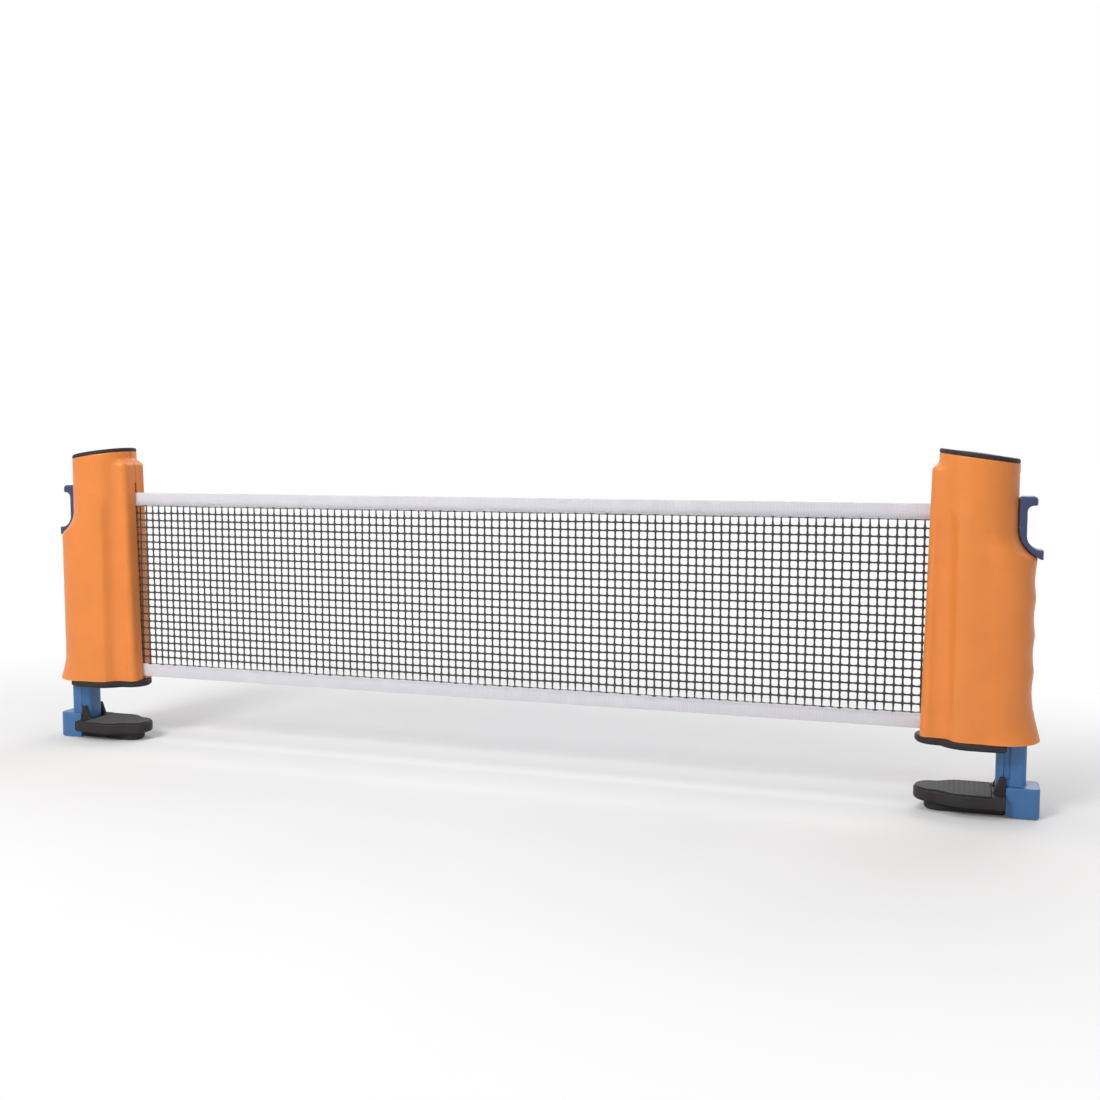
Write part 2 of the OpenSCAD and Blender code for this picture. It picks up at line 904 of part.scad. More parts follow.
module net_tape(z0) {
    color(WHITE)
        block_between([lead_t - net_half, -tape_t / 2, z0], [net_half - lead_t, tape_t / 2, z0 + tape_h]);
}

module net_top_tape() {
    net_tape(z_net_top - tape_h);
}

module net_bottom_tape() {
    net_tape(z_net);
}

// ---------- assembly ----------

for (side = SIDES) {
    on_post(side) shell(true);
    on_post(side) shell(false);
    on_post(side) top_cap();
    on_post(side) base_plate();
    on_post(side) base_pad();
    on_post(side) base_screws();
    on_post(side) shell_screws();
    on_post(side) slider();
    on_post(side) trigger();
    on_post(side) trigger_screw();
    on_post(side) jaw_plate();
    on_post(side) jaw_pad();
    on_post(side) jaw_screws();
    on_post(side) clamp_spring();
    on_post(side) roller_tube();
    on_post(side) top_bush();
    on_post(side) bottom_bush();
    on_post(side) spring_arbor();
    on_post(side) return_spring();
    on_post(side) net_roll();
    on_post(side) net_bar();
}
net_mesh();
net_top_tape();
net_bottom_tape();
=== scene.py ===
import json
import math

import bpy
import numpy as np
import openvdb
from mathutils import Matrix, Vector


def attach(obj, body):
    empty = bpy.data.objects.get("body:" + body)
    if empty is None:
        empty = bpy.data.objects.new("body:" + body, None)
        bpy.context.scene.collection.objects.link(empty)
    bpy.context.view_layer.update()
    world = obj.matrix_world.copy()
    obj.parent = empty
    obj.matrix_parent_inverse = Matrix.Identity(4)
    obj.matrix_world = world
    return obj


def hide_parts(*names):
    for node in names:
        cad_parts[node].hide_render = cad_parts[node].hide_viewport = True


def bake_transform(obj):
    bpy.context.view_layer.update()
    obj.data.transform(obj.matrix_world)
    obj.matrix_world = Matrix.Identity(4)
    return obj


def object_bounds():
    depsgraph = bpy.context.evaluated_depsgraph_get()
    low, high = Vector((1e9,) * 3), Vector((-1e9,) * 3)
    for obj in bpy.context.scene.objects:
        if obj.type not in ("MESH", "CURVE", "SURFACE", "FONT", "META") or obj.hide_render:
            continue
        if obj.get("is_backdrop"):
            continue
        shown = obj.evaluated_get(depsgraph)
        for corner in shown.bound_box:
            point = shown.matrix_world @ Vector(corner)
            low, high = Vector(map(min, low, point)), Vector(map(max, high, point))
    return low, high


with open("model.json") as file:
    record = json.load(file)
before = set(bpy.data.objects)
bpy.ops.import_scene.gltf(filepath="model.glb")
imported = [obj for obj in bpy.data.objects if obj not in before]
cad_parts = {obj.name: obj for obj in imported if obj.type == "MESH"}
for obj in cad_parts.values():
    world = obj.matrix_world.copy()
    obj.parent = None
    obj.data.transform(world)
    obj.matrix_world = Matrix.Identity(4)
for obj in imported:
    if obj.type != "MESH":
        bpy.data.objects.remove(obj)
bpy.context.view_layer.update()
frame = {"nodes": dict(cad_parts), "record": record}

# ---------- sizes in mm ----------
# Post coordinates, as in the part's source: x runs outward from the face with the net's slot, y to the rear
# and z up from the jaw's underside. The left post mirrors the right one.

SIDES = ("left", "right")
FIT, SEAT_FIT, RUN_FIT = 0.3, 0.15, 0.05  # gaps of sliding pieces, round the jaw's tenon and in a turning fit
EPS = 1.0  # how far a cut runs past the face that it opens
FAR = 80.0  # an x beyond every piece
WALL, PLATE_T, PAD_T, CAP_T, FLOOR_T, GUIDE_T, BULK_T = 2.4, 4.0, 1.0, 4.0, 3.0, 4.0, 5.0

# table clamp; JAW_REACH is how far the jaw and the base reach past the slot's face
TABLE_MAX, CLOSED_GAP = 29.5, 1.5
TRAVEL = TABLE_MAX - CLOSED_GAP
JAW_H, JAW_REACH, JAW_HALF, JAW_TIP_HALF = 15.0, 3.5, 20.0, 12.8
JAW_PLATE_TOP = JAW_H - PAD_T
JAW_RIB_H, JAW_RIB_BACK, JAW_RIB_R = 6.0, 7.0, 9.0

# net
FREE, NET_H, TAPE_H = 610.0, 150.0, 10.5
NET_LIFT, NET_DROP = 8.0, 34.0  # from the base up to the net, and from the post's top down to it
SLOT_HALF, SLOT_OVER = 1.1, 8.0  # half the slot's width, and how far it runs on over the net

# levels
Z_BASE = JAW_H + TABLE_MAX
Z_PLATE = Z_BASE + PAD_T
Z_SHELL = Z_PLATE + PLATE_T
Z_FLOOR = Z_SHELL + FLOOR_T
Z_GUIDE = Z_SHELL + 25
Z_GUIDE_TOP = Z_GUIDE + GUIDE_T
Z_ARM_TOP = Z_SHELL + 42.5
Z_BULK = Z_ARM_TOP + TRAVEL + 4
Z_BULK_TOP = Z_BULK + BULK_T
Z_NET = Z_BASE + NET_LIFT
Z_NET_TOP = Z_NET + NET_H
Z_SLOT_TOP = Z_NET_TOP + SLOT_OVER
Z_TOP = Z_NET_TOP + NET_DROP
Z_CAP = Z_TOP - CAP_T
Z_SHOULDER = Z_TOP - 9
Z_RECESS = Z_TOP - 68

# plan of the post
NOSE_STEP, NOSE_LEAN, NOSE_HALF, NOSE_CORNER = 4.0, 4.0, 13.8, 5.0
NOSE_END = 44.0  # where the nose's block ends inside the barrel
BARREL_FRONT = NOSE_STEP + NOSE_LEAN
BARREL_R = 24.0
BARREL_X0 = BARREL_FRONT + BARREL_R
BARREL_X1 = BARREL_X0 + 2
RECESS_X = BARREL_X1 + BARREL_R
TOP_MID = (BARREL_FRONT + RECESS_X) / 2
TOP_SLOPE = math.radians(8)
FLUTE_R, FLUTE_BITE, FLUTE_WALL = 10.0, 1.9, 2.2
FLUTE_Y = NOSE_HALF + FLUTE_R
FLUTE_X = BARREL_X0 - math.sqrt((BARREL_R + FLUTE_R - FLUTE_BITE) ** 2 - FLUTE_Y**2)
FLUTE_TOP, FLUTE_FADE = 12.0, 0.4  # it fades out from this far over the recess, at this slope

# grip
GRIP_OUT = 12.0
GRIP_X = BARREL_X1 + GRIP_OUT
GRIP_END = RECESS_X + GRIP_OUT
SWEEP_R = 22.0
SWEEP_X = RECESS_X + SWEEP_R
SWEEP_Z = Z_RECESS + math.sqrt(SWEEP_R**2 - (SWEEP_R - GRIP_OUT) ** 2)
WAVES, WAVE_PITCH, WAVE_DEPTH, FIRST_WAVE = 4, 24.0, 1.2, 14.0
# radius of an arc of this depth that spans 0.84 of the pitch
WAVE_R = ((WAVE_PITCH * 0.42) ** 2 + WAVE_DEPTH**2) / (2 * WAVE_DEPTH)
# the flare is a cone: its axis, its radius at the foot, and how much of it goes over which height
FLARE_X, FLARE_R, FLARE_OUT, FLARE_H = 50.0, 25.0, 5.0, 19.0
FLARE_COS = 0.967  # cosine of the flare's slope

# slider, block and stem
ARM_LEN, ARM_HALF, ARM_CORNER, ARM_LOW = 19.0, 8.0, 4.2, 15.0
ARM_X1 = GRIP_END - WALL - 2 * FIT
ARM_X0 = ARM_X1 - ARM_LEN
CHANNEL_CORNER = 5.3
GROOVE_R, GROOVE_OUT, GROOVE_LOW = 2.4, 0.8, 24.0
GROOVE_X = ARM_X0 + 0.36 * ARM_LEN
BLOCK_HALF, BLOCK_H, BLOCK_CORNER = 12.0, 20.0, 5.0
BLOCK_X0 = ARM_X0 + 6.5
BLOCK_X1 = GRIP_END + FLARE_OUT + 2 * FIT
GUSSET_X0 = ARM_X0 - 2
GUSSET_T, GUSSET_RISE, GUSSET_RUN = 3.0, 12.0, 4.5
TENON_HALF, TENON_H = 7.0, 7.0
TENON_ROOT, TENON_END = BLOCK_X0 - 4.5, BLOCK_X0 + 10
STEM_R = 3.75
STEM_X = RECESS_X - WALL - 6.1
STEM_LOW = Z_ARM_TOP - 2  # its foot inside the arm
Z_HEAD = SWEEP_Z - 5
Z_STEM = Z_HEAD + 13
HEAD_HALF, TONGUE_HALF, TONGUE_X0 = 6.8, 3.8, 54.0
HEAD_X0 = STEM_X - STEM_R - 1.7
NOTCH_X = GUSSET_X0 - FIT
NOTCH_HALF = BLOCK_HALF + FIT
NOTCH_LOW = 40.0  # a level under the shells

# trigger: its bar follows the recess wall, and its two lips stand out from it
TRIGGER_X0 = RECESS_X + FIT
TRIGGER_LOW_END, TRIGGER_HIGH_END = TRIGGER_X0 + 14.8, TRIGGER_X0 + 11
TRIGGER_HALF = 7.5
Z_TRIGGER_TOP = Z_TOP - TRAVEL - FIT
Z_IN_LIP = 180.0  # a level inside the lower lip
FINGER_X = TRIGGER_X0 + 4.5
FINGER_Z0, FINGER_Z1 = Z_RECESS + 5.5, Z_TRIGGER_TOP - 6
FINGER_LOW_R, FINGER_HIGH_R = 9.0, 4.0

# roller
ROLL_R, TUBE_R, ARBOR_R = 13.6, 7.0, 2.5
ROLL_X = BARREL_FRONT + 16
BORE_R = ROLL_R + 2
CAP_BOSS_R = 6.0
Z_CAP_BOSS = Z_NET_TOP + 1 + FIT + 2  # over the tube's flange, a gap and the boss's collar
LEAD_R = ROLL_R + FIT + 0.4  # radius on which the net runs off the roll
LEAD_X = ROLL_X - BORE_R
LEAD_ANGLE = math.asin(LEAD_R / BORE_R)
LEAD_LEN = math.sqrt(BORE_R**2 - LEAD_R**2)

# screws
SCREW_R, SCREW_HEAD_R, SCREW_HEAD_H, BOSS_R = 1.4, 2.7, 2.0, 3.4
SHELL_SCREWS = [
    (BARREL_FRONT + 5, Z_TOP - 20.5),
    (ROLL_X + 12, Z_TOP - 20.5),
    ((RECESS_X + GRIP_END) / 2 - BOSS_R / 3, (Z_BULK_TOP + Z_RECESS) / 2),
]
SHELL_SCREW_SEAT, SHELL_SCREW_TIP, SHELL_SCREW_LEN = 9.0, 13.0, 21.7
BASE_SCREWS = [(5.6, 8.2), (BARREL_X1 + BOSS_R, BARREL_R - 6.5)]
BASE_SCREW_TOP, BASE_SCREW_LEN = Z_SHELL + 14, 15.4
BASE_SCREW_SEAT = Z_PLATE + SCREW_HEAD_H + FIT
JAW_SCREW = (BLOCK_X0 + 5, 3.5)
JAW_SCREW_SEAT, JAW_SCREW_TOP, JAW_SCREW_LEN = 3.0, 17.0, 13.7
STEM_SCREW_LEN, STEM_SCREW_HEAD_R = 11.0, STEM_R + 0.5

# ---------- distance fields: below zero inside a piece, above zero outside ----------


def meet(a, b, k=0.0):
    """What two fields have in common. k rounds the edge between them."""
    if k == 0:
        return np.maximum(a, b)
    return np.minimum(np.maximum(a, b), -k) + np.hypot(np.maximum(a + k, 0), np.maximum(b + k, 0))


def join(a, b, k=0.0):
    """Two fields together. k fills the corner between them."""
    return -meet(-a, -b, k)


def oval(x, y, x0, x1, r):
    return np.hypot(x - np.clip(x, x0, x1), y) - r


def slab(z, z0, z1):
    return np.abs(z - (z0 + z1) / 2) - (z1 - z0) / 2


def rounded(x, y, x0, x1, y0, y1, r):
    """A rectangle with round corners."""
    qx, qy = slab(x, x0, x1) + r, slab(y, y0, y1) + r
    return np.hypot(np.maximum(qx, 0), np.maximum(qy, 0)) + np.minimum(np.maximum(qx, qy), 0) - r


def block(x, y, z, low, high, k=0.0):
    return meet(meet(slab(x, low[0], high[0]), slab(y, low[1], high[1]), k), slab(z, low[2], high[2]), k)


def over_slope(x, z, level):
    """Height over the sloping plane that has this level at the middle of the top."""
    return (z - level) * math.cos(TOP_SLOPE) + (x - TOP_MID) * math.sin(TOP_SLOPE)


def from_barrel(x, y):
    """Distance from the axis of the barrel's outer round, or from the plane y = 0 nearer to the nose."""
    return np.hypot(np.maximum(x - BARREL_X1, 0), y)


def post_body(x, y, z):
    """The outer form of both shells together."""
    lean = (z - Z_SHELL) * NOSE_LEAN / (Z_SHOULDER - Z_SHELL)
    nose = rounded(x - lean, y, 0, NOSE_END, -NOSE_HALF, NOSE_HALF, NOSE_CORNER)
    nose = meet(nose, z - Z_SHOULDER, 3.5)
    main = join(oval(x, y, BARREL_X0, BARREL_X1, BARREL_R), nose, 4.0)
    rho = from_barrel(x, y)
    hollow = np.hypot(rho - BARREL_R - SWEEP_R, z - SWEEP_Z) - SWEEP_R
    grip = meet(oval(x, y, BARREL_X0, GRIP_X, BARREL_R), -hollow, 1.6)
    main = np.minimum(main, np.maximum(grip, z - SWEEP_Z))
    fade = FLUTE_FADE * np.maximum(z - Z_RECESS - FLUTE_TOP, 0)
    flute = np.hypot(np.hypot(x - FLUTE_X, np.abs(y) - FLUTE_Y), fade) - FLUTE_R
    main = meet(main, -flute, 2.0)
    wave_x = GRIP_END - BARREL_X1 - WAVE_DEPTH
    for i in range(WAVES):
        wave = np.hypot(rho - wave_x - WAVE_R, z - Z_RECESS + FIRST_WAVE + WAVE_PITCH * i) - WAVE_R
        main = meet(main, -wave, 1.5)
    cone = (np.hypot(x - FLARE_X, y) - FLARE_R + FLARE_OUT * (z - Z_SHELL) / FLARE_H) * FLARE_COS
    main = join(main, np.maximum(cone, z - Z_SHELL - FLARE_H), 1.4)
    return meet(meet(main, Z_SHELL - z, 0.6), over_slope(x, z, Z_CAP), 0.8)


def post_inside(x, y, z):
    """The rooms inside the shells: bays between the ribs, roller bore, arm channel, notch and screw holes."""
    room = oval(x, y, BARREL_X0, GRIP_X, BARREL_R - WALL)
    under = SWEEP_R + WALL - np.hypot(from_barrel(x, y) - BARREL_R - SWEEP_R, z - SWEEP_Z)
    bays = np.minimum(slab(z, Z_FLOOR, Z_GUIDE), slab(z, Z_GUIDE_TOP, Z_BULK))
    bays = np.minimum(bays, slab(z, Z_BULK_TOP, SWEEP_Z))
    room = np.maximum(np.maximum(room, bays), under)
    upper = np.maximum(oval(x, y, BARREL_X0, BARREL_X1, BARREL_R - WALL), Z_BULK_TOP - z)
    room = np.minimum(room, upper)
    for sx, sz in SHELL_SCREWS:
        room = np.maximum(room, BOSS_R + 1 - np.hypot(x - sx, z - sz))
    sx, sy = BASE_SCREWS[1]
    room = np.maximum(room, np.minimum(BOSS_R - np.hypot(x - sx, np.abs(y) - sy), BASE_SCREW_TOP + 3 - z))
    room = np.maximum(room, FLUTE_R + FLUTE_WALL - np.hypot(x - FLUTE_X, np.abs(y) - FLUTE_Y))
    room = np.minimum(room, np.maximum(np.hypot(x - ROLL_X, y) - BORE_R, z - Z_SLOT_TOP))
    half = ARM_HALF + FIT
    arm = rounded(x, y, ARM_X0 - FIT, ARM_X1 + FIT, -half, half, CHANNEL_CORNER)
    room = np.minimum(room, np.maximum(arm, z - Z_GUIDE_TOP))
    notch = block(x, y, z, (NOTCH_X, -NOTCH_HALF, NOTCH_LOW), (BLOCK_X0 + FIT, NOTCH_HALF, Z_FLOOR))
    room = np.minimum(room, notch)
    stem = np.maximum(np.hypot(x - STEM_X, y) - STEM_R - FIT, slab(z, Z_BULK - EPS, Z_BULK_TOP + EPS))
    room = np.minimum(room, stem)
    for sx, sy in BASE_SCREWS:
        pilot = np.maximum(np.hypot(x - sx, np.abs(y) - sy) - SCREW_R, z - BASE_SCREW_TOP)
        room = np.minimum(room, pilot)
    return room


def shell_field(front):
    def field(x, y, z):
        d = np.maximum(post_body(x, y, z), -post_inside(x, y, z))
        slot = np.maximum(np.maximum(np.abs(y) - SLOT_HALF, x - LEAD_X - EPS), z - Z_SLOT_TOP)
        d = meet(d, -slot, 0.5)
        half = TONGUE_HALF + FIT
        low = (RECESS_X - WALL - EPS, -half, Z_HEAD + 2 - FIT)
        high = (RECESS_X + 2, half, Z_STEM - 2 + TRAVEL + 2 * FIT)
        d = meet(d, -block(x, y, z, low, high, 0.4), 0.3)
        for sx, sz in SHELL_SCREWS:
            r = np.hypot(x - sx, z - sz)
            pilot = np.maximum(r - SCREW_R, -SHELL_SCREW_TIP - y)
            head = np.maximum(r - SCREW_HEAD_R - FIT, SHELL_SCREW_SEAT - y)
            d = meet(d, -np.minimum(pilot, head), 0.35)
        return meet(d, y if front else -y, 0.4)

    return field


def cap_field(x, y, z):
    """Oval cap: a slight dome, a shallow face sunk inside its edge, a plug rim and the arbor's boss."""
    dome_fall, face_edge, face_ramp, face_steep = 0.0018, 1.6, 0.8, 0.7
    rim_t, rim_h = 1.6, 3.0
    plan = oval(x, y, BARREL_X0, BARREL_X1, BARREL_R)
    seat = -over_slope(x, z, Z_CAP)
    dome = over_slope(x, z, Z_TOP) + dome_fall * ((x - TOP_MID) ** 2 + y**2)
    face = np.clip(-plan - face_edge, 0, face_ramp) * face_steep
    d = meet(meet(plan, dome + face, 1.1), seat, 0.5)
    inner = plan + WALL + FIT
    rim = np.maximum(np.maximum(inner, -(inner + rim_t)), np.maximum(seat - rim_h, -seat - EPS))
    r = np.hypot(x - ROLL_X, y)
    boss = np.maximum(np.maximum(r - CAP_BOSS_R, Z_CAP_BOSS - z), -seat - EPS)
    d = np.minimum(d, np.minimum(rim, boss))
    return np.maximum(d, -np.maximum(r - ARBOR_R, z - Z_CAP))


def base_plan(x, y, inset):
    barrel = np.maximum(oval(x, y, BARREL_X0, GRIP_X, BARREL_R - inset), x - BLOCK_X0 + FIT + inset)
    d = join(barrel, oval(x, y, NOSE_HALF - JAW_REACH, BARREL_X0, NOSE_HALF - inset), 1.0)
    return meet(d, -np.maximum(NOTCH_X - inset - x, np.abs(y) - NOTCH_HALF - inset), 0.4)


def base_field(x, y, z):
    """Base plate with its notch, the lower roller pivot's hole and the counterbored screw holes."""
    pivot_floor = 0.8
    d = meet(base_plan(x, y, 0), slab(z, Z_PLATE, Z_SHELL), 0.7)
    d = np.maximum(d, -np.maximum(np.hypot(x - ROLL_X, y) - ARBOR_R - RUN_FIT, Z_PLATE + pivot_floor - z))
    for sx, sy in BASE_SCREWS:
        r = np.hypot(x - sx, np.abs(y) - sy)
        head = np.maximum(r - SCREW_HEAD_R - FIT, z - Z_PLATE - SCREW_HEAD_H - FIT)
        d = np.maximum(d, -np.minimum(r - SCREW_R, head))
    return d


# rubber pads: how far they stand in from their plates, and their ribs
PAD_INSET, PAD_RIM, RIB_PITCH, RIB_DEPTH = 1.2, 1.5, 3.2, 0.45


def pad_grooves(plan, x):
    """Depth of the rounded grooves that run across a pad inside its rim."""
    groove = RIB_DEPTH * np.clip(1.6 * np.cos(2 * math.pi * x / RIB_PITCH) - 0.9, 0, 1)
    return np.where(plan < -PAD_RIM, groove, 0)


def base_pad_field(x, y, z):
    plan = base_plan(x, y, PAD_INSET)
    return meet(plan, np.maximum(z - Z_PLATE, Z_BASE + pad_grooves(plan, x) - z), 0.3)


def jaw_plan(x, y, inset):
    wide_x = ROLL_X + 4
    tip = oval(x, y, JAW_TIP_HALF - JAW_REACH, wide_x, JAW_TIP_HALF - inset)
    wide = np.maximum(oval(x, y, wide_x, FAR, JAW_HALF - inset), x - BLOCK_X0 + inset)
    return join(tip, wide, 3.0)


def jaw_field(x, y, z):
    """Jaw plate with its rib below, the land and gussets at the arm, and the tenon that sits in the block."""
    plate = meet(meet(jaw_plan(x, y, 0), z - JAW_PLATE_TOP, 0.9), JAW_RIB_H - z, 2.2)
    land = block(x, y, z, (GUSSET_X0, -JAW_HALF, JAW_PLATE_TOP - 2), (BLOCK_X0, JAW_HALF, JAW_H), 0.5)
    rib_x = JAW_RIB_BACK + JAW_RIB_R - JAW_REACH
    rib = np.maximum(oval(x, y, rib_x, FAR, JAW_RIB_R), x - BLOCK_X0)
    d = join(np.minimum(plate, land), meet(rib, slab(z, 0, JAW_RIB_H + 2), 1.8), 1.2)
    slope = (GUSSET_X0 - x) * GUSSET_RISE + (z - JAW_PLATE_TOP) * GUSSET_RUN
    slope = slope / math.hypot(GUSSET_RISE, GUSSET_RUN)
    gusset = np.maximum(slope, x - BLOCK_X0)
    gusset = np.maximum(gusset, slab(z, JAW_PLATE_TOP - 2, JAW_PLATE_TOP + GUSSET_RISE))
    beside = slab(np.abs(y), ARM_HALF + FIT, ARM_HALF + FIT + GUSSET_T)
    d = join(d, meet(gusset, beside, 0.5), 0.8)
    low = (TENON_ROOT, -TENON_HALF, JAW_RIB_H)
    high = (TENON_END, TENON_HALF, JAW_RIB_H + TENON_H)
    d = np.minimum(d, block(x, y, z, low, high, 0.3))
    return np.maximum(d, -(np.hypot(x - JAW_SCREW[0], np.abs(y) - JAW_SCREW[1]) - SCREW_R))


def jaw_pad_field(x, y, z):
    plan = np.maximum(jaw_plan(x, y, PAD_INSET), x - NOTCH_X)
    return meet(plan, np.maximum(z - JAW_H + pad_grooves(plan, x), JAW_PLATE_TOP - z), 0.3)


def slider_field(x, y, z):
    """Arm with its two grooves, block with the tenon's socket, and stem, in one moulding."""
    arm = rounded(x, y, ARM_X0, ARM_X1, -ARM_HALF, ARM_HALF, ARM_CORNER)
    arm = meet(arm, slab(z, ARM_LOW, Z_ARM_TOP), 0.8)
    groove = np.hypot(x - GROOVE_X, np.abs(y) - ARM_HALF - GROOVE_OUT) - GROOVE_R
    arm = meet(arm, -np.maximum(groove, GROOVE_LOW - z), 0.5)
    foot = rounded(x, y, ARM_X0 + 0.5, BLOCK_X1, -BLOCK_HALF, BLOCK_HALF, BLOCK_CORNER)
    foot = np.maximum(foot, BLOCK_X0 - x)
    d = join(meet(foot, slab(z, 0, BLOCK_H), 1.2), arm, 1.0)
    stem_r = np.hypot(x - STEM_X, y)
    d = join(d, meet(stem_r - STEM_R, slab(z, STEM_LOW, Z_STEM), 0.3), 0.6)
    low = (BLOCK_X0 - 1.5, -TENON_HALF - SEAT_FIT, JAW_RIB_H - SEAT_FIT)
    high = (TENON_END + FIT, TENON_HALF + SEAT_FIT, JAW_RIB_H + TENON_H + SEAT_FIT)
    d = np.maximum(d, -block(x, y, z, low, high))
    r = np.hypot(x - JAW_SCREW[0], np.abs(y) - JAW_SCREW[1])
    pilot = np.maximum(r - SCREW_R, z - JAW_SCREW_TOP)
    head = np.maximum(r - SCREW_HEAD_R - SEAT_FIT, z - JAW_SCREW_SEAT)
    d = np.maximum(d, -np.minimum(pilot, head))
    return np.maximum(d, -np.maximum(stem_r - SCREW_R, Z_STEM - STEM_SCREW_LEN - FIT - z))


def trigger_field(x, y, z):
    """Finger hook whose back follows the round barrel, its carriage on the stem and the tongue between."""
    around = BARREL_X1 + from_barrel(x, y)
    sweep = np.hypot(around - SWEEP_X, z - SWEEP_Z) - SWEEP_R + FIT
    low = meet(np.maximum(sweep, z - SWEEP_Z - EPS), x - TRIGGER_LOW_END, 0.8)
    high = rounded(around, z, TRIGGER_X0, TRIGGER_HIGH_END, Z_IN_LIP, Z_TRIGGER_TOP, 2.8)
    high = np.maximum(high, SWEEP_Z - z)
    reach = np.where(z < SWEEP_Z, FINGER_LOW_R, FINGER_HIGH_R)
    qx, qz = FINGER_X - x + reach, slab(z, FINGER_Z0, FINGER_Z1) + reach
    finger = np.hypot(np.maximum(qx, 0), np.maximum(qz, 0)) + np.minimum(np.maximum(qx, qz), 0) - reach
    hook = meet(np.minimum(low, high), -finger, 0.9)
    d = meet(hook, np.abs(y) - TRIGGER_HALF, 1.3)
    head = np.maximum(oval(x, y, BARREL_X0, BARREL_X1, BARREL_R - WALL - FIT), HEAD_X0 - x)
    head = meet(np.maximum(head, np.abs(y) - HEAD_HALF), slab(z, Z_HEAD, Z_STEM), 0.4)
    tongue_low = (TONGUE_X0, -TONGUE_HALF, Z_HEAD + 2)
    tongue_high = (RECESS_X + 1.8, TONGUE_HALF, Z_STEM - 2)
    d = np.minimum(d, np.minimum(head, block(x, y, z, tongue_low, tongue_high)))
    return np.maximum(d, -(np.hypot(x - STEM_X, y) - STEM_R))


# ---------- meshes ----------


def add_mesh(name, points, faces, material):
    """A smooth mesh object. points are in metres, in the row frame."""
    mesh = bpy.data.meshes.new(name)
    mesh.from_pydata(points.tolist(), [], faces)
    mesh.update()
    mesh.polygons.foreach_set("use_smooth", [True] * len(mesh.polygons))
    mesh.materials.append(material)
    obj = bpy.data.objects.new(name, mesh)
    bpy.context.scene.collection.objects.link(obj)
    return obj


def place(points, side):
    """From post coordinates in mm to the row frame in metres."""
    out = np.array(points, float) / 1000
    out[:, 0] += FREE / 2000
    if side == "left":
        out[:, 0] *= -1
    return out


def flip(faces, side):
    return [f[::-1] for f in faces] if side == "left" else faces


def stand_in(obj, body, node):
    """The mesh rides a body and stands for a CAD node."""
    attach(obj, body)
    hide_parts(node)


WEAR_REACH, WEAR_START = 1.1, 0.35  # how far an edge's wear is felt for, and how sharp an edge has to be


def surface(field, low, high, voxel, outside):
    """Points, faces, normals and edge wear of the field's zero surface inside a box.

    outside is the field whose edges wear."""
    start = [(math.floor(a / voxel) - 2) * voxel for a in low]
    count = [int(math.ceil((h - a) / voxel)) + 3 for a, h in zip(start, high)]
    x, y, z = (
        (s + voxel * np.arange(n)).astype(np.float32).reshape([-1 if i == k else 1 for i in range(3)])
        for k, (s, n) in enumerate(zip(start, count))
    )
    values = np.broadcast_to(field(x, y, z), count)
    band = 3 * voxel
    grid = openvdb.FloatGrid(band)
    grid.copyFromArray(np.ascontiguousarray(np.clip(values, -band, band), dtype=np.float32))
    points, triangles, quads = grid.convertToPolygons(-0.001, 0.01)
    points = np.array(points, float) * voxel + np.array(start)
    faces = [tuple(map(int, f)) for f in triangles] + [tuple(map(int, f)) for f in quads]
    p = points.T
    axes = [np.eye(3)[:, [k]] for k in range(3)]
    h = 0.5 * voxel
    normals = np.array([field(*(p + h * axis)) - field(*(p - h * axis)) for axis in axes]).T
    normals /= np.maximum(np.linalg.norm(normals, axis=1), 1e-9)[:, None]
    around = sum(outside(*(p + s * WEAR_REACH * axis)) for axis in axes for s in (-1, 1))
    wear = np.clip((around - 6 * outside(*p)) / WEAR_REACH - WEAR_START, 0, 1)
    a, b, c = (points[[f[i] for f in faces]] for i in range(3))
    first_normal = normals[[f[0] for f in faces]]
    if (np.cross(b - a, c - a) * first_normal).sum() < 0:
        faces = [f[::-1] for f in faces]
    return points, faces, normals, wear


def moulded(piece, field, low, high, voxel, slot, body, outside=None):
    """One moulded piece of each post, meshed inside the box from low to high."""
    points, faces, normals, wear = surface(field, low, high, voxel, outside or field)
    for side in SIDES:
        name = f"{side}_{piece}_moulding"
        obj = add_mesh(name, place(points, side), flip(faces, side), MATERIALS[slot])
        turned = normals * ((-1, 1, 1) if side == "left" else (1, 1, 1))
        obj.data.normals_split_custom_set_from_vertices(turned.tolist())
        attribute = obj.data.attributes.new("wear", "FLOAT", "POINT")
        attribute.data.foreach_set("value", wear.astype(np.float32))
        stand_in(obj, f"{side}_{body}", f"{side}_{piece}")


def ring_faces(rings, n):
    """Quads between rings of n points each."""
    return [
        (i * n + k, i * n + (k + 1) % n, (i + 1) * n + (k + 1) % n, (i + 1) * n + k)
        for i in range(rings - 1)
        for k in range(n)
    ]


def end_discs(rings, n):
    """The two end faces of a tube."""
    return [tuple(range(n))[::-1], tuple((rings - 1) * n + k for k in range(n))]


def end_strips(rings, n):
    """End faces of rings that run out along one side of a thin strip and back along the other."""
    faces = []
    for i, turned in ((0, True), (rings - 1, False)):
        for k in range(n // 2 - 1):
            quad = (i * n + k, i * n + k + 1, i * n + n - 2 - k, i * n + n - 1 - k)
            faces.append(quad[::-1] if turned else quad)
    return faces


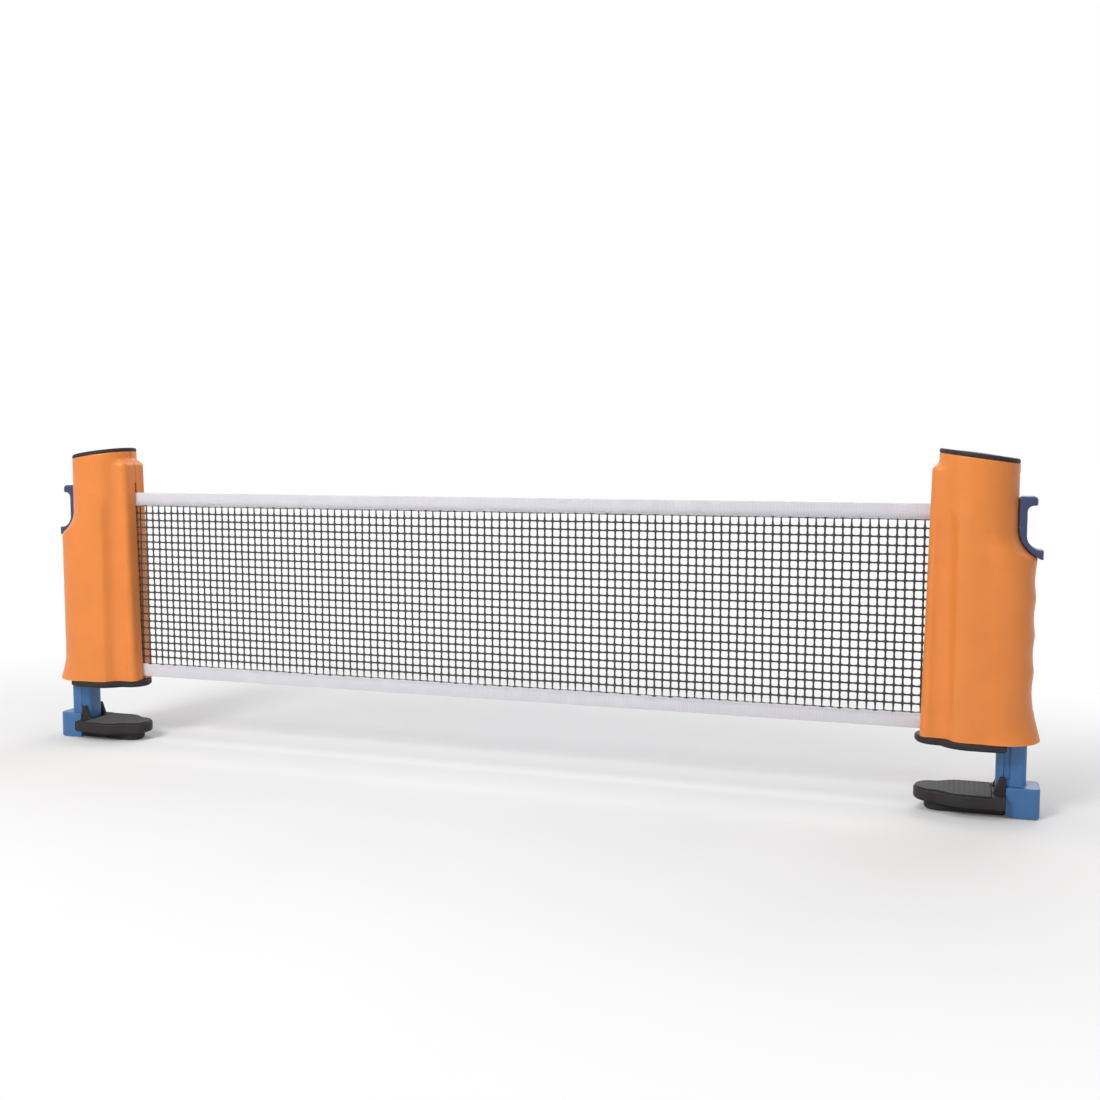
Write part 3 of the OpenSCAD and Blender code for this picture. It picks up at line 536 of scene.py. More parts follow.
def tube(path, radius, sides):
    """Points and faces of a closed tube along a path of points; radius may be one number per point."""
    path = np.array(path, float)
    radius = np.broadcast_to(radius, len(path))
    tangent = np.gradient(path, axis=0)
    tangent /= np.linalg.norm(tangent, axis=1)[:, None]
    guide = np.array([0.0, 1.0, 0.0]) if abs(tangent[0][1]) < 0.9 else np.array([0.0, 0.0, 1.0])
    u = np.cross(tangent, guide)
    u /= np.linalg.norm(u, axis=1)[:, None]
    v = np.cross(tangent, u)
    turn = 2 * math.pi * np.arange(sides) / sides
    ring = np.cos(turn)[None, :, None] * u[:, None] + np.sin(turn)[None, :, None] * v[:, None]
    points = (path[:, None] + ring * radius[:, None, None]).reshape(-1, 3)
    return points, ring_faces(len(path), sides) + end_discs(len(path), sides)


def merged(parts):
    """One mesh from several (points, faces)."""
    points, faces, at = [], [], 0
    for p, f in parts:
        points.append(p)
        faces += [tuple(i + at for i in face) for face in f]
        at += len(p)
    return np.concatenate(points), faces


def outward(points, faces):
    """Turns the faces so that a closed mesh has its normals outside."""
    volume = 0.0
    for f in faces:
        a = points[f[0]]
        for i in range(1, len(f) - 1):
            volume += np.dot(a, np.cross(points[f[i]], points[f[i + 1]]))
    return faces if volume > 0 else [f[::-1] for f in faces]


# ---------- shader nodes ----------


def shader(name, roughness, metallic=0.0, coat=0.0, sheen=0.0):
    """A new material, its node tree, its principled shader and the coordinates of its object."""
    material = bpy.data.materials.new(name)
    material.use_nodes = True
    tree = material.node_tree
    bsdf = tree.nodes["Principled BSDF"]
    bsdf.inputs["Roughness"].default_value = roughness
    bsdf.inputs["Metallic"].default_value = metallic
    if coat:
        bsdf.inputs["Coat Weight"].default_value = coat
        bsdf.inputs["Coat Roughness"].default_value = 0.25
    if sheen:
        bsdf.inputs["Sheen Weight"].default_value = sheen
        bsdf.inputs["Sheen Roughness"].default_value = 0.6
    return material, tree, bsdf, tree.nodes.new("ShaderNodeTexCoord").outputs["Object"]


def noise(tree, where, scale, detail=3.0, roughness=0.55):
    n = tree.nodes.new("ShaderNodeTexNoise")
    n.inputs["Scale"].default_value = scale
    n.inputs["Detail"].default_value = detail
    n.inputs["Roughness"].default_value = roughness
    tree.links.new(where, n.inputs["Vector"])
    return n.outputs["Fac"]


def waves(tree, where, direction, scale, distortion=0.0):
    w = tree.nodes.new("ShaderNodeTexWave")
    w.bands_direction = direction
    w.inputs["Scale"].default_value = scale
    w.inputs["Distortion"].default_value = distortion
    tree.links.new(where, w.inputs["Vector"])
    return w.outputs["Fac"]


def ramp(tree, fac, stops):
    r = tree.nodes.new("ShaderNodeValToRGB")
    tree.links.new(fac, r.inputs["Fac"])
    for element, (at, colour) in zip(r.color_ramp.elements, stops):
        element.position = at
        element.color = (*colour, 1)
    return r.outputs["Color"]


def mix(tree, fac, a, b, mode="MIX"):
    m = tree.nodes.new("ShaderNodeMix")
    m.data_type = "RGBA"
    m.blend_type = mode
    for socket, value in ((m.inputs["Factor"], fac), (m.inputs["A"], a), (m.inputs["B"], b)):
        if isinstance(value, bpy.types.NodeSocket):
            tree.links.new(value, socket)
        elif isinstance(value, (int, float)):
            socket.default_value = value
        else:
            socket.default_value = (*value, 1)
    return m.outputs["Result"]


def math_node(tree, kind, a, b=0.0, c=0.0):
    m = tree.nodes.new("ShaderNodeMath")
    m.operation = kind
    for socket, value in zip(m.inputs, (a, b, c)):
        if isinstance(value, bpy.types.NodeSocket):
            tree.links.new(value, socket)
        else:
            socket.default_value = value
    return m.outputs[0]


def bump(tree, bsdf, height, distance, strength=1.0, before=None):
    b = tree.nodes.new("ShaderNodeBump")
    b.inputs["Distance"].default_value = distance
    b.inputs["Strength"].default_value = strength
    tree.links.new(height, b.inputs["Height"])
    if before is not None:
        tree.links.new(before, b.inputs["Normal"])
    tree.links.new(b.outputs["Normal"], bsdf.inputs["Normal"])
    return b.outputs["Normal"]


def linear(hex_colour):
    parts = [int(hex_colour[i : i + 2], 16) / 255 for i in (1, 3, 5)]
    return tuple(p / 12.92 if p <= 0.04045 else ((p + 0.055) / 1.055) ** 2.4 for p in parts)


def scaled(colour, by):
    return tuple(min(1.0, c * by) for c in colour)


# ---------- materials ----------


def plastic(name, hex_colour, roughness, grain, worn, coat=0.0, streak=0.06, specular=0.5):
    """Moulded plastic: cloudy colour, fine spark-eroded grain, rubbed edges and faint handling marks."""
    material, tree, bsdf, where = shader(name, roughness, coat=coat)
    bsdf.inputs["Specular IOR Level"].default_value = specular
    base = linear(hex_colour)
    cloud = noise(tree, where, 38.0, 4.0)
    colour = ramp(tree, cloud, [(0.32, scaled(base, 1 - streak)), (0.68, scaled(base, 1 + streak))])
    speck = ramp(tree, noise(tree, where, 900.0, 2.0), [(0.62, (0, 0, 0)), (0.8, (0.35, 0.35, 0.35))])
    colour = mix(tree, speck, colour, scaled(base, 0.82))
    wear = tree.nodes.new("ShaderNodeAttribute")
    wear.attribute_name = "wear"
    rub = math_node(tree, "MULTIPLY", wear.outputs["Fac"], noise(tree, where, 260.0, 4.0, 0.7))
    colour = mix(tree, math_node(tree, "MULTIPLY", rub, worn), colour, scaled(base, 1.45))
    tree.links.new(colour, bsdf.inputs["Base Color"])
    smear = noise(tree, where, 70.0, 5.0, 0.65)
    rough = math_node(tree, "MULTIPLY_ADD", smear, 0.16, roughness - 0.08)
    tree.links.new(rough, bsdf.inputs["Roughness"])
    fine = bump(tree, bsdf, noise(tree, where, 2600.0, 2.0, 0.6), grain)
    bump(tree, bsdf, noise(tree, where, 55.0, 2.0, 0.5), 0.00012, 0.5, fine)
    return material


def rubber(name, hex_colour):
    """Matt rubber with a little dust."""
    material, tree, bsdf, where = shader(name, 0.8, sheen=0.15)
    base = linear(hex_colour)
    dust = noise(tree, where, 120.0, 5.0, 0.7)
    tree.links.new(ramp(tree, dust, [(0.4, base), (0.75, scaled(base, 2.2))]), bsdf.inputs["Base Color"])
    bump(tree, bsdf, noise(tree, where, 1800.0, 3.0), 0.00006)
    return material


def steel(name, tint, roughness, grain):
    """Bright steel with faint blotches."""
    material, tree, bsdf, where = shader(name, roughness, metallic=1.0)
    blotch = noise(tree, where, 400.0, 4.0)
    tree.links.new(ramp(tree, blotch, [(0.3, scaled(tint, 0.8)), (0.7, tint)]), bsdf.inputs["Base Color"])
    fine = noise(tree, where, 2200.0, 3.0)
    tree.links.new(math_node(tree, "MULTIPLY_ADD", fine, 0.2, roughness - 0.1), bsdf.inputs["Roughness"])
    bump(tree, bsdf, fine, grain)
    return material


def cord_material(name, hex_colour):
    """Dark knotless netting: twisted yarn with painted shade in the twist's grooves, and a little dust in it.
    """
    material, tree, bsdf, where = shader(name, 0.75, sheen=0.3)
    base = linear(hex_colour)
    twist = waves(tree, where, "DIAGONAL", 620.0, 1.5)
    fuzz = noise(tree, where, 900.0, 4.0)
    yarn = ramp(tree, fuzz, [(0.35, scaled(base, 0.6)), (0.7, scaled(base, 1.5))])
    # painted shade: the colour falls to 0.55 of the yarn's in the twist's grooves, where the bump is low
    tree.links.new(mix(tree, twist, scaled(base, 0.55), yarn), bsdf.inputs["Base Color"])
    bump(tree, bsdf, twist, 0.00018)
    return material


def tape_material(name, hex_colour):
    """White woven binding tape: fine ribs across and warp lines along, as bumps with painted shade in their
    hollows, and faint soiling.
    """
    material, tree, bsdf, where = shader(name, 0.82, sheen=0.35)
    base = linear(hex_colour)
    across = waves(tree, where, "X", 330.0, 0.4)
    along = waves(tree, where, "Z", 420.0, 0.4)
    weave = math_node(tree, "MULTIPLY", across, along)
    soil = noise(tree, where, 60.0, 5.0, 0.6)
    colour = ramp(tree, soil, [(0.35, scaled(base, 0.93)), (0.7, base)])
    # painted shade: the weave's hollows, where the bump is low, are darkened to 0.8 of the tape's colour
    painted_weave_shade = ramp(tree, weave, [(0.0, (0.8, 0.8, 0.83)), (0.7, (1, 1, 1))])
    tree.links.new(mix(tree, 1.0, colour, painted_weave_shade, "MULTIPLY"), bsdf.inputs["Base Color"])
    bump(tree, bsdf, weave, 0.0002)
    return material


def wound_material():
    """The wound net seen edge on and through its slot: dark netting between white tape bands."""
    material, tree, bsdf, where = shader("wound_net", 0.8, sheen=0.2)
    split = tree.nodes.new("ShaderNodeSeparateXYZ")
    tree.links.new(where, split.inputs[0])
    middle, mesh_half = (Z_NET + Z_NET_TOP) / 2000, (NET_H - 2 * TAPE_H) / 2000
    from_middle = math_node(tree, "ABSOLUTE", math_node(tree, "SUBTRACT", split.outputs["Z"], middle))
    on_tape = math_node(tree, "GREATER_THAN", from_middle, mesh_half)
    fuzz = noise(tree, where, 700.0, 4.0)
    dark = mix(tree, waves(tree, where, "Z", 54.0), linear("#202024"), linear("#4A4A50"))
    white = ramp(tree, fuzz, [(0.3, linear("#D8D6DE")), (0.7, linear("#F0EEF4"))])
    tree.links.new(mix(tree, on_tape, dark, white), bsdf.inputs["Base Color"])
    bump(tree, bsdf, fuzz, 0.0002)
    return material


MATERIALS = {
    "orange_abs": plastic("orange_abs", "#E58539", 0.42, 0.00003, 0.5, streak=0.035),
    "black_plastic": plastic("black_plastic", "#353134", 0.5, 0.00003, 0.8, streak=0.12, specular=0.14),
    "blue_plastic": plastic("blue_plastic", "#386DA3", 0.36, 0.000018, 0.5, coat=0.15),
    "navy_plastic": plastic("navy_plastic", "#2D3B62", 0.36, 0.000018, 0.6, coat=0.15),
    "pad_rubber": rubber("pad_rubber", "#1E1D20"),
    "screw_steel": steel("screw_steel", (0.62, 0.62, 0.64), 0.32, 0.00001),
    "spring_steel": steel("spring_steel", (0.5, 0.51, 0.54), 0.28, 0.000015),
    "roller_plastic": plastic("roller_plastic", "#D2D1CB", 0.45, 0.00002, 0.2),
    "net_cord": cord_material("net_cord", "#2B2B31"),
    "net_tape": tape_material("net_tape", "#EDEBF1"),
}
slot_of = {s["node"]: s["material_slot"] for s in frame["record"]["subparts"]}
for node, obj in frame["nodes"].items():
    obj.data.materials.clear()
    obj.data.materials.append(MATERIALS[slot_of[node]])

# ---------- moulded pieces: each one's box, voxel, slot and body ----------

shell_voxel = 0.5
for piece, front, y0, y1 in (("shell_front", True, -26, 0.5), ("shell_rear", False, -0.5, 26)):
    low, high = (-1, y0, 48.5), (76, y1, 237)
    moulded(piece, shell_field(front), low, high, shell_voxel, "orange_abs", "post", post_body)
moulded("top_cap", cap_field, (7, -25, 205), (59, 25, 241), 0.45, "black_plastic", "post")
moulded("base_plate", base_field, (-4, -25, 45), (55, 25, 50), 0.5, "black_plastic", "post")
moulded("base_pad", base_pad_field, (-4, -25, 44.3), (55, 25, 45.7), 0.4, "pad_rubber", "post")
moulded("slider", slider_field, (47, -13, -0.5), (76.5, 13, 199), 0.6, "blue_plastic", "jaw")
moulded("trigger", trigger_field, (43.5, -8, 167), (74, 8, 209), 0.45, "navy_plastic", "jaw")
moulded("jaw_plate", jaw_field, (-4, -21, -0.5), (65, 21, 26.5), 0.55, "black_plastic", "jaw")
moulded("jaw_pad", jaw_pad_field, (-4, -21, 13.8), (47, 21, 15.2), 0.4, "pad_rubber", "jaw")

# ---------- screws ----------


def screw(axis_point, direction, length, head_r=SCREW_HEAD_R):
    """Pan head with a cross recess, and a threaded shank. direction points from the head to the tip."""
    head_h, root_r, sides = SCREW_HEAD_H, SCREW_R * 0.86, 24
    thread_start, thread_pitch, thread_end, tip_len = 0.6, 0.5, 1.6, 1.4
    turn = 2 * math.pi * np.arange(sides) / sides
    arm = head_r * np.abs(np.cos(2 * turn)) ** 6
    profile = [(0.45 + 0.42 * arm, -head_h * 0.45), (0.5 + 0.47 * arm, -head_h)]
    profile += [(head_r * 0.55, -head_h), (head_r * 0.86, -head_h * 0.86)]
    profile += [(head_r, -head_h * 0.45), (head_r, 0.0), (SCREW_R, 0.0)]
    at = thread_start
    while at < length - thread_end:
        profile += [(root_r, at), (SCREW_R, at + thread_pitch / 2)]
        at += thread_pitch
    profile += [(root_r, length - tip_len), (0.25, length)]
    points = [np.stack([r * np.cos(turn), r * np.sin(turn), np.full(sides, z)], 1) for r, z in profile]
    points = np.concatenate(points)
    faces = ring_faces(len(profile), sides) + end_discs(len(profile), sides)
    rotation = np.array(Vector(direction).to_track_quat("Z", "Y").to_matrix(), float)
    return points @ rotation.T + np.array(axis_point, float), outward(points, faces)


def fasteners(piece, screws, body):
    points, faces = merged(screws)
    for side in SIDES:
        name = f"{side}_{piece}_detail"
        obj = add_mesh(name, place(points, side), flip(faces, side), MATERIALS["screw_steel"])
        stand_in(obj, f"{side}_{body}", f"{side}_{piece}")


UP, DOWN, FORWARD = (0, 0, 1), (0, 0, -1), (0, -1, 0)
shell_screws = [screw((x, SHELL_SCREW_SEAT, z), FORWARD, SHELL_SCREW_LEN) for x, z in SHELL_SCREWS]
fasteners("shell_screws", shell_screws, "post")
base_screws = [
    screw((x, s * y, BASE_SCREW_SEAT), UP, BASE_SCREW_LEN) for x, y in BASE_SCREWS for s in (-1, 1)
]
fasteners("base_screws", base_screws, "post")
jaw_screws = [screw((JAW_SCREW[0], s * JAW_SCREW[1], JAW_SCREW_SEAT), UP, JAW_SCREW_LEN) for s in (-1, 1)]
fasteners("jaw_screws", jaw_screws, "jaw")
fasteners("trigger_screw", [screw((STEM_X, 0, Z_STEM), DOWN, STEM_SCREW_LEN, STEM_SCREW_HEAD_R)], "jaw")

# ---------- springs ----------


def coil_path(axis_x, curls, radius, low, high, per_turn, dead):
    """A helix whose end turns lie close; dead is the share of the height at each end that they take."""
    turns = np.linspace(0, 1, int(curls * per_turn) + 1) * curls
    shape = np.interp(turns, [0, 1, curls - 1, curls], [0, dead, 1 - dead, 1])
    angle = 2 * math.pi * turns
    path = np.stack([radius * np.cos(angle), radius * np.sin(angle), low + (high - low) * shape], 1)
    path[:, 0] += axis_x
    return path


CLAMP_WIRE_R, CLAMP_CURLS = 0.6, 12
CLAMP_COIL_R = STEM_R + 0.5 + CLAMP_WIRE_R
SPRING_LOW, SPRING_HIGH = Z_BULK_TOP + FIT, Z_HEAD - FIT
RETURN_WIRE_R, RETURN_COIL_R, RETURN_CURLS = 0.45, 4.1, 62
RETURN_LOW, RETURN_HIGH = Z_NET + 0.4 * NET_H + 4.5, Z_NET_TOP - 8.5

wire_sides = 8
wire_low, wire_high = SPRING_LOW + CLAMP_WIRE_R, SPRING_HIGH - CLAMP_WIRE_R
path = coil_path(STEM_X, CLAMP_CURLS, CLAMP_COIL_R, wire_low, wire_high, 20, 0.03)
points, faces = tube(path, CLAMP_WIRE_R, wire_sides)
faces = outward(points, faces)
# the share of the spring's height at each point of the wire
weights = np.repeat((path[:, 2] - SPRING_LOW) / (SPRING_HIGH - SPRING_LOW), wire_sides)
for side in SIDES:
    placed = place(points, side)
    name = f"{side}_clamp_spring_wire"
    spring = add_mesh(name, placed, flip(faces, side), MATERIALS["spring_steel"])
    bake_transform(spring)
    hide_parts(f"{side}_clamp_spring")

path = coil_path(ROLL_X, RETURN_CURLS, RETURN_COIL_R, RETURN_LOW, RETURN_HIGH, 12, 0.012)
points, faces = tube(path, RETURN_WIRE_R, 5)
faces = outward(points, faces)
for side in SIDES:
    name = f"{side}_return_spring_wire"
    spring = add_mesh(name, place(points, side), flip(faces, side), MATERIALS["spring_steel"])
    stand_in(spring, f"{side}_post", f"{side}_return_spring")

# ---------- net wound on the rollers: a spiral strip of cloth, whose outer end points to the slot ----------

TURNS, STEPS = 8.2, 44  # laps of cloth, and points to each lap
CLOTH_HALF, TAPE_EDGE = 0.28, 0.3
FIRST_R, LAST_R = TUBE_R + 0.3, ROLL_R - 0.15

turns = np.linspace(0, TURNS, int(TURNS * STEPS) + 1)
spiral_r = FIRST_R + (LAST_R - FIRST_R) * turns / TURNS
angle = math.pi - LEAD_ANGLE - 2 * math.pi * (TURNS - turns)
inner, outer = (
    np.stack([ROLL_X + r * np.cos(angle), r * np.sin(angle)], 1)
    for r in (spiral_r - CLOTH_HALF, spiral_r + CLOTH_HALF)
)
outline = np.concatenate([inner, outer[::-1]])
levels = [Z_NET, Z_NET + TAPE_EDGE, Z_NET + TAPE_H]
levels += [Z_NET_TOP - TAPE_H, Z_NET_TOP - TAPE_EDGE, Z_NET_TOP]
points = np.concatenate([np.column_stack([outline, np.full(len(outline), z)]) for z in levels])
faces = ring_faces(len(levels), len(outline)) + end_strips(len(levels), len(outline))
faces = outward(points, faces)
wound = wound_material()
for side in SIDES:
    roll = add_mesh(f"{side}_wound_net", place(points, side), flip(faces, side), wound)
    stand_in(roll, f"{side}_roller", f"{side}_net_roll")

# ---------- the net between the posts ----------

COLUMNS, ROWS = 104, 22
PITCH_X = FREE / COLUMNS
MESH_LOW, MESH_HIGH = Z_NET + TAPE_H, Z_NET_TOP - TAPE_H
PITCH_Z = (MESH_HIGH - MESH_LOW) / ROWS
REACH = FREE / 2 + LEAD_X + LEAD_LEN  # arc length from the middle to the roll
IN_TAPE = 2.5  # how far the upright cords run into each tape
CORD_R, CORD_SIDES = 0.64, 6
# shares of CORD_R: where a cord crosses another, between crossings, at the net's edges and on average
CROSSING, BETWEEN, AT_EDGE, AVERAGE = 1.42, 0.92, 0.8, 1.15
IN_POST = 0.42  # share left of the cords' thickness and weave inside the posts


def net_xy(s):
    """Where the net runs, from its arc length s, 0 at the middle: straight, then round into the posts."""
    s = np.asarray(s, float)
    past = np.abs(s) - FREE / 2 - LEAD_X
    bent = np.clip(past, 0, None)
    x = np.where(past > 0, FREE / 2 + LEAD_X + bent * math.cos(LEAD_ANGLE), np.abs(s)) * np.sign(s)
    return x, bent * math.sin(LEAD_ANGLE)


def net_weight(x):
    """Share of the right post's motion that the net has at x."""
    return np.clip((np.asarray(x) + FREE / 2) / FREE, 0, 1)


def stretch(obj):
    """Bakes the object's placement into its mesh's points."""
    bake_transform(obj)


def upright_cord(i, s):
    """Path and thickness of the upright cord number i at arc length s, with two points to each row."""
    z = MESH_LOW + PITCH_Z / 2 * np.arange(-1, 2 * ROWS + 2)
    crossing = np.arange(len(z)) % 2
    z[0], z[-1] = MESH_LOW - IN_TAPE, MESH_HIGH + IN_TAPE
    woven = np.where((np.arange(len(z)) // 2 + i) % 2 == 0, -0.17, 0.17) * crossing
    x, y = net_xy(s)
    drift = 0.12 * np.sin(z * 0.11 + i * 1.7) * (abs(s) < FREE / 2 - 2)
    slack = 1.0 if abs(s) < FREE / 2 + LEAD_X else IN_POST
    radius = CORD_R * np.where(crossing == 1, CROSSING, BETWEEN) * slack
    radius[[0, 1, -2, -1]] = CORD_R * AT_EDGE * slack
    return np.column_stack([x + drift, y + woven * slack, z]), radius


def row_cord(j, s):
    """Path and thickness of the row number j, with two points to each column at the arc lengths s."""
    x, y = net_xy(s)
    k = np.round(s / (PITCH_X / 2)).astype(int)
    over = np.where(k % 2 == 0, np.where((k // 2 + j) % 2 == 0, 1.0, -1.0), 0.0)
    z = MESH_LOW + j * PITCH_Z + 0.1 * np.sin(s * 0.09 + j * 2.1) - 0.12 * (k % 2)
    slack = np.where(np.abs(s) < FREE / 2 + LEAD_X, 1.0, IN_POST)
    radius = CORD_R * slack * np.where(k % 2 == 0, CROSSING, BETWEEN)
    radius = radius * (AT_EDGE if j in (0, ROWS) else 1)
    return np.column_stack([x, y + 0.3 * over * slack, z]), radius


parts, weights = [], []
columns = [(i - COLUMNS / 2) * PITCH_X for i in range(-2, COLUMNS + 3)]
for i, s in enumerate(columns):
    parts.append(tube(*upright_cord(i, s), CORD_SIDES))
    weights.append(np.full(len(parts[-1][0]), net_weight(net_xy(s)[0])))
half_columns = np.arange(-(COLUMNS + 4), COLUMNS + 5) * PITCH_X / 2
along = np.unique(np.concatenate([half_columns, [-REACH, REACH]]))
for j in range(ROWS + 1):
    parts.append(tube(*row_cord(j, along), CORD_SIDES))
    weights.append(net_weight(parts[-1][0][:, 0]))
points, faces = merged(parts)
net = add_mesh("net_cords", points / 1000, faces, MATERIALS["net_cord"])
stretch(net)
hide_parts("net_mesh")

# ---------- tapes ----------


def sway(s, z0):
    """How far a tape wanders to the front and rear along the net."""
    return 0.12 * np.sin(s * 0.045 + z0)


def tape_profile(top):
    """Section of a folded tape, out along its outside and back inside; its fold is at the top or bottom."""
    cloth, half, h = 0.45, 0.75, TAPE_H
    arc = np.linspace(0, math.pi, 7)
    outer = [(half, 0.0), (half, h * 0.5)]
    outer += [(half * math.cos(a), h - half + half * math.sin(a)) for a in arc]
    outer += [(-half, h * 0.5), (-half, 0.0)]
    within = half - cloth
    inner = [(-within, 0.0), (-within, h * 0.5)]
    inner += [(within * math.cos(a), h - half + within * math.sin(a)) for a in arc[::-1]]
    inner += [(within, h * 0.5), (within, 0.0)]
    profile = np.array(outer + inner)
    if not top:
        profile[:, 1] = h - profile[:, 1]
    return profile


def tape_mesh(z0, top):
    """A tape folded over the net's edge, pulled into a slight scallop by the cords at its open edge."""
    end = FREE / 2 + LEAD_X - 1
    s = np.linspace(-end, end, 261)
    profile = tape_profile(top)
    free = np.clip((FREE / 2 - np.abs(s)) / 6, 0, 1)
    scallop = 0.16 * np.sin(s * 2 * math.pi / PITCH_X) * free
    edge = 1 - profile[:, 1] / TAPE_H if top else profile[:, 1] / TAPE_H
    x = np.repeat(s, len(profile)).reshape(len(s), -1)
    y = profile[None, :, 0] + (sway(s, z0) * free)[:, None]
    z = z0 + profile[None, :, 1] + scallop[:, None] * edge[None] ** 3 * (1 if top else -1)
    points = np.stack([x, y, z], 2).reshape(-1, 3)
    faces = ring_faces(len(s), len(profile)) + end_strips(len(s), len(profile))
    return points, outward(points, faces)


def stitch_mesh(z0, z):
    """Lockstitch dashes along a tape, on both faces."""
    pitch, rise, run, thread_r = 3.0, 0.4, 1.9, 0.17
    sunk, proud = 0.66, 0.86  # from the tape's middle
    dashes = []
    for s in np.arange(-FREE / 2 + 2, FREE / 2 - 2, pitch):
        for y in (-1, 1):
            low, high = y * sunk + sway(s, z0), y * proud + sway(s, z0)
            path = [(s, low, z), (s + rise, high, z), (s + run, high, z), (s + run + rise, low, z)]
            dashes.append(tube(path, thread_r, 5))
    return merged(dashes)


STITCH_IN = 1.6  # from the tape's open edge
trim = []
for node, z0, top, line in (
    ("net_top_tape", MESH_HIGH, True, MESH_HIGH + STITCH_IN),
    ("net_bottom_tape", Z_NET, False, MESH_LOW - STITCH_IN),
):
    points, faces = tape_mesh(z0, top)
    band = add_mesh(f"{node}_woven", points / 1000, faces, MATERIALS["net_tape"])
    stretch(band)
    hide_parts(node)
    points, faces = stitch_mesh(z0, line)
    thread = add_mesh(f"{node}_stitching", points / 1000, faces, MATERIALS["net_tape"])
    stretch(thread)
    trim += [band, thread]

# ---------- stage, in metres ----------


def backdrop_rays(tree):
    """1 for the rays that see the background itself: the camera's, and those through gloss or glass."""
    rays = tree.nodes.new("ShaderNodeLightPath")
    either = math_node(tree, "MAXIMUM", rays.outputs["Is Camera Ray"], rays.outputs["Is Glossy Ray"])
    return math_node(tree, "MAXIMUM", either, rays.outputs["Is Transmission Ray"])


def stage_material():
    """Pale floor that holds the object's shadow near it and fades into a white background further off."""
    material, tree, bsdf, where = shader("floor", 0.9)
    cloud = ramp(tree, noise(tree, where, 3.0, 3.0), [(0.3, (0.83, 0.83, 0.84)), (0.7, (0.87, 0.87, 0.87))])
    tree.links.new(cloud, bsdf.inputs["Base Color"])
    squeeze = tree.nodes.new("ShaderNodeMapping")
    squeeze.inputs["Scale"].default_value = (0.62, 1.0, 1.0)
    tree.links.new(where, squeeze.inputs["Vector"])
    length = tree.nodes.new("ShaderNodeVectorMath")
    length.operation = "LENGTH"
    tree.links.new(squeeze.outputs["Vector"], length.inputs[0])
    fade = tree.nodes.new("ShaderNodeMapRange")
    fade.interpolation_type = "SMOOTHSTEP"
    fade.inputs["From Min"].default_value = 0.16
    fade.inputs["From Max"].default_value = 0.55
    tree.links.new(length.outputs["Value"], fade.inputs["Value"])
    white = tree.nodes.new("ShaderNodeEmission")
    white.inputs["Color"].default_value = (1, 1, 1, 1)
    white.inputs["Strength"].default_value = 1.0
    both = tree.nodes.new("ShaderNodeMixShader")
    faded = math_node(tree, "MULTIPLY", fade.outputs["Result"], backdrop_rays(tree))
    tree.links.new(faded, both.inputs[0])
    tree.links.new(bsdf.outputs[0], both.inputs[1])
    tree.links.new(white.outputs[0], both.inputs[2])
    tree.links.new(both.outputs[0], tree.nodes["Material Output"].inputs["Surface"])
    return material


def floor_disc(radii, n):
    """Points and faces of a flat disc of rings with n points each."""
    points, faces = [(0.0, 0.0, 0.0)], [(0, 1 + k, 1 + (k + 1) % n) for k in range(n)]
    for r in radii:
        turns = [2 * math.pi * k / n for k in range(n)]
        points += [(r * math.cos(turn), r * math.sin(turn), 0.0) for turn in turns]
    for i in range(len(radii) - 1):
        a, b = 1 + i * n, 1 + (i + 1) * n
        faces += [(a + k, b + k, b + (k + 1) % n, a + (k + 1) % n) for k in range(n)]
    return points, faces


FLOOR_GAP = 0.0005  # the floor lies this far below the part
floor_mesh = bpy.data.meshes.new("floor")
points, faces = floor_disc([0.4, 0.8, 1.4, 2.2, 3.5, 6.0, 12.0, 30.0], 48)
floor_mesh.from_pydata(points, [], faces)
floor_mesh.materials.append(stage_material())
floor = bpy.data.objects.new("floor", floor_mesh)
floor.location.z = -FLOOR_GAP
bpy.context.scene.collection.objects.link(floor)
floor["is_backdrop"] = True


def aim(obj, place_at, target):
    """Places an object so that it looks at the target, and links it."""
    obj.location = place_at
    obj.rotation_mode = "QUATERNION"
    obj.rotation_quaternion = (Vector(target) - Vector(place_at)).to_track_quat("-Z", "Y")
    bpy.context.scene.collection.objects.link(obj)


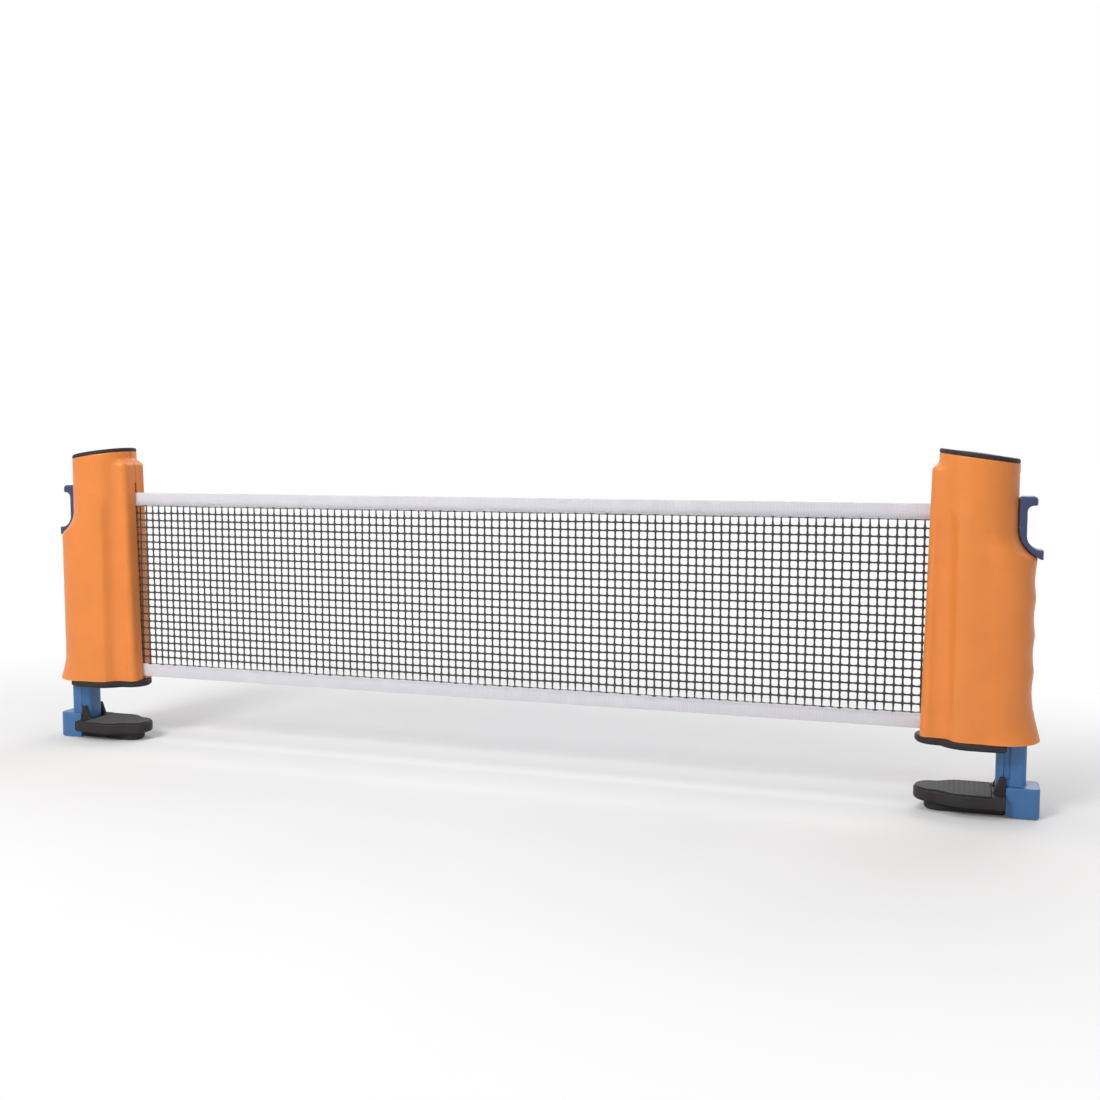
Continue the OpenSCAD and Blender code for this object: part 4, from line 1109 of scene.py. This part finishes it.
def lamp(name, place_at, target, size, power, colour=(1, 1, 1)):
    data = bpy.data.lights.new(name, "AREA")
    data.shape = "RECTANGLE"
    data.size, data.size_y = size
    data.energy = power
    data.color = colour
    aim(bpy.data.objects.new(name, data), place_at, target)


lamp("key", (-0.4, -1.15, 1.0), (0, 0, 0.12), (0.45, 0.45), 13.5, (1.0, 0.985, 0.95))
lamp("fill", (1.6, -1.9, 0.8), (0.1, 0, 0.1), (1.4, 1.2), 1.5, (0.95, 0.975, 1.0))
lamp("back", (0.5, 1.9, 1.3), (0, 0, 0.1), (1.6, 0.8), 14)
lamp("top", (0, -0.1, 2.0), (0, 0, 0.1), (1.6, 1.2), 12)


def background(tree, colour, strength):
    """Even light of one colour from all round."""
    node = tree.nodes.new("ShaderNodeBackground")
    node.inputs["Color"].default_value = (*colour, 1)
    node.inputs["Strength"].default_value = strength
    return node.outputs[0]


studio = bpy.data.worlds.new("studio")
bpy.context.scene.world = studio
studio.use_nodes = True
tree = studio.node_tree
tree.nodes.clear()
choose = tree.nodes.new("ShaderNodeMixShader")
out = tree.nodes.new("ShaderNodeOutputWorld")
tree.links.new(backdrop_rays(tree), choose.inputs[0])
tree.links.new(background(tree, (0.93, 0.96, 1.0), 0.31), choose.inputs[1])
tree.links.new(background(tree, (1, 1, 1), 1.0), choose.inputs[2])
tree.links.new(choose.outputs[0], out.inputs["Surface"])

# ---------- camera, in metres ----------

CAMERA_AZIMUTH, CAMERA_DISTANCE, CAMERA_HEIGHT = math.radians(21.0), 0.92, 0.240
CAMERA_TARGET = (0.045, 0.0, 0.165)

lens = bpy.data.cameras.new("camera")
lens.sensor_width = 36.0
lens.lens = 41.0
lens.clip_start, lens.clip_end = 0.01, 100
camera = bpy.data.objects.new("camera", lens)
camera_x = CAMERA_DISTANCE * math.sin(CAMERA_AZIMUTH)
camera_y = -CAMERA_DISTANCE * math.cos(CAMERA_AZIMUTH)
aim(camera, (camera_x, camera_y, CAMERA_HEIGHT), CAMERA_TARGET)
bpy.context.scene.camera = camera
bpy.context.scene.view_settings.view_transform = "Standard"

low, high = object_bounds()
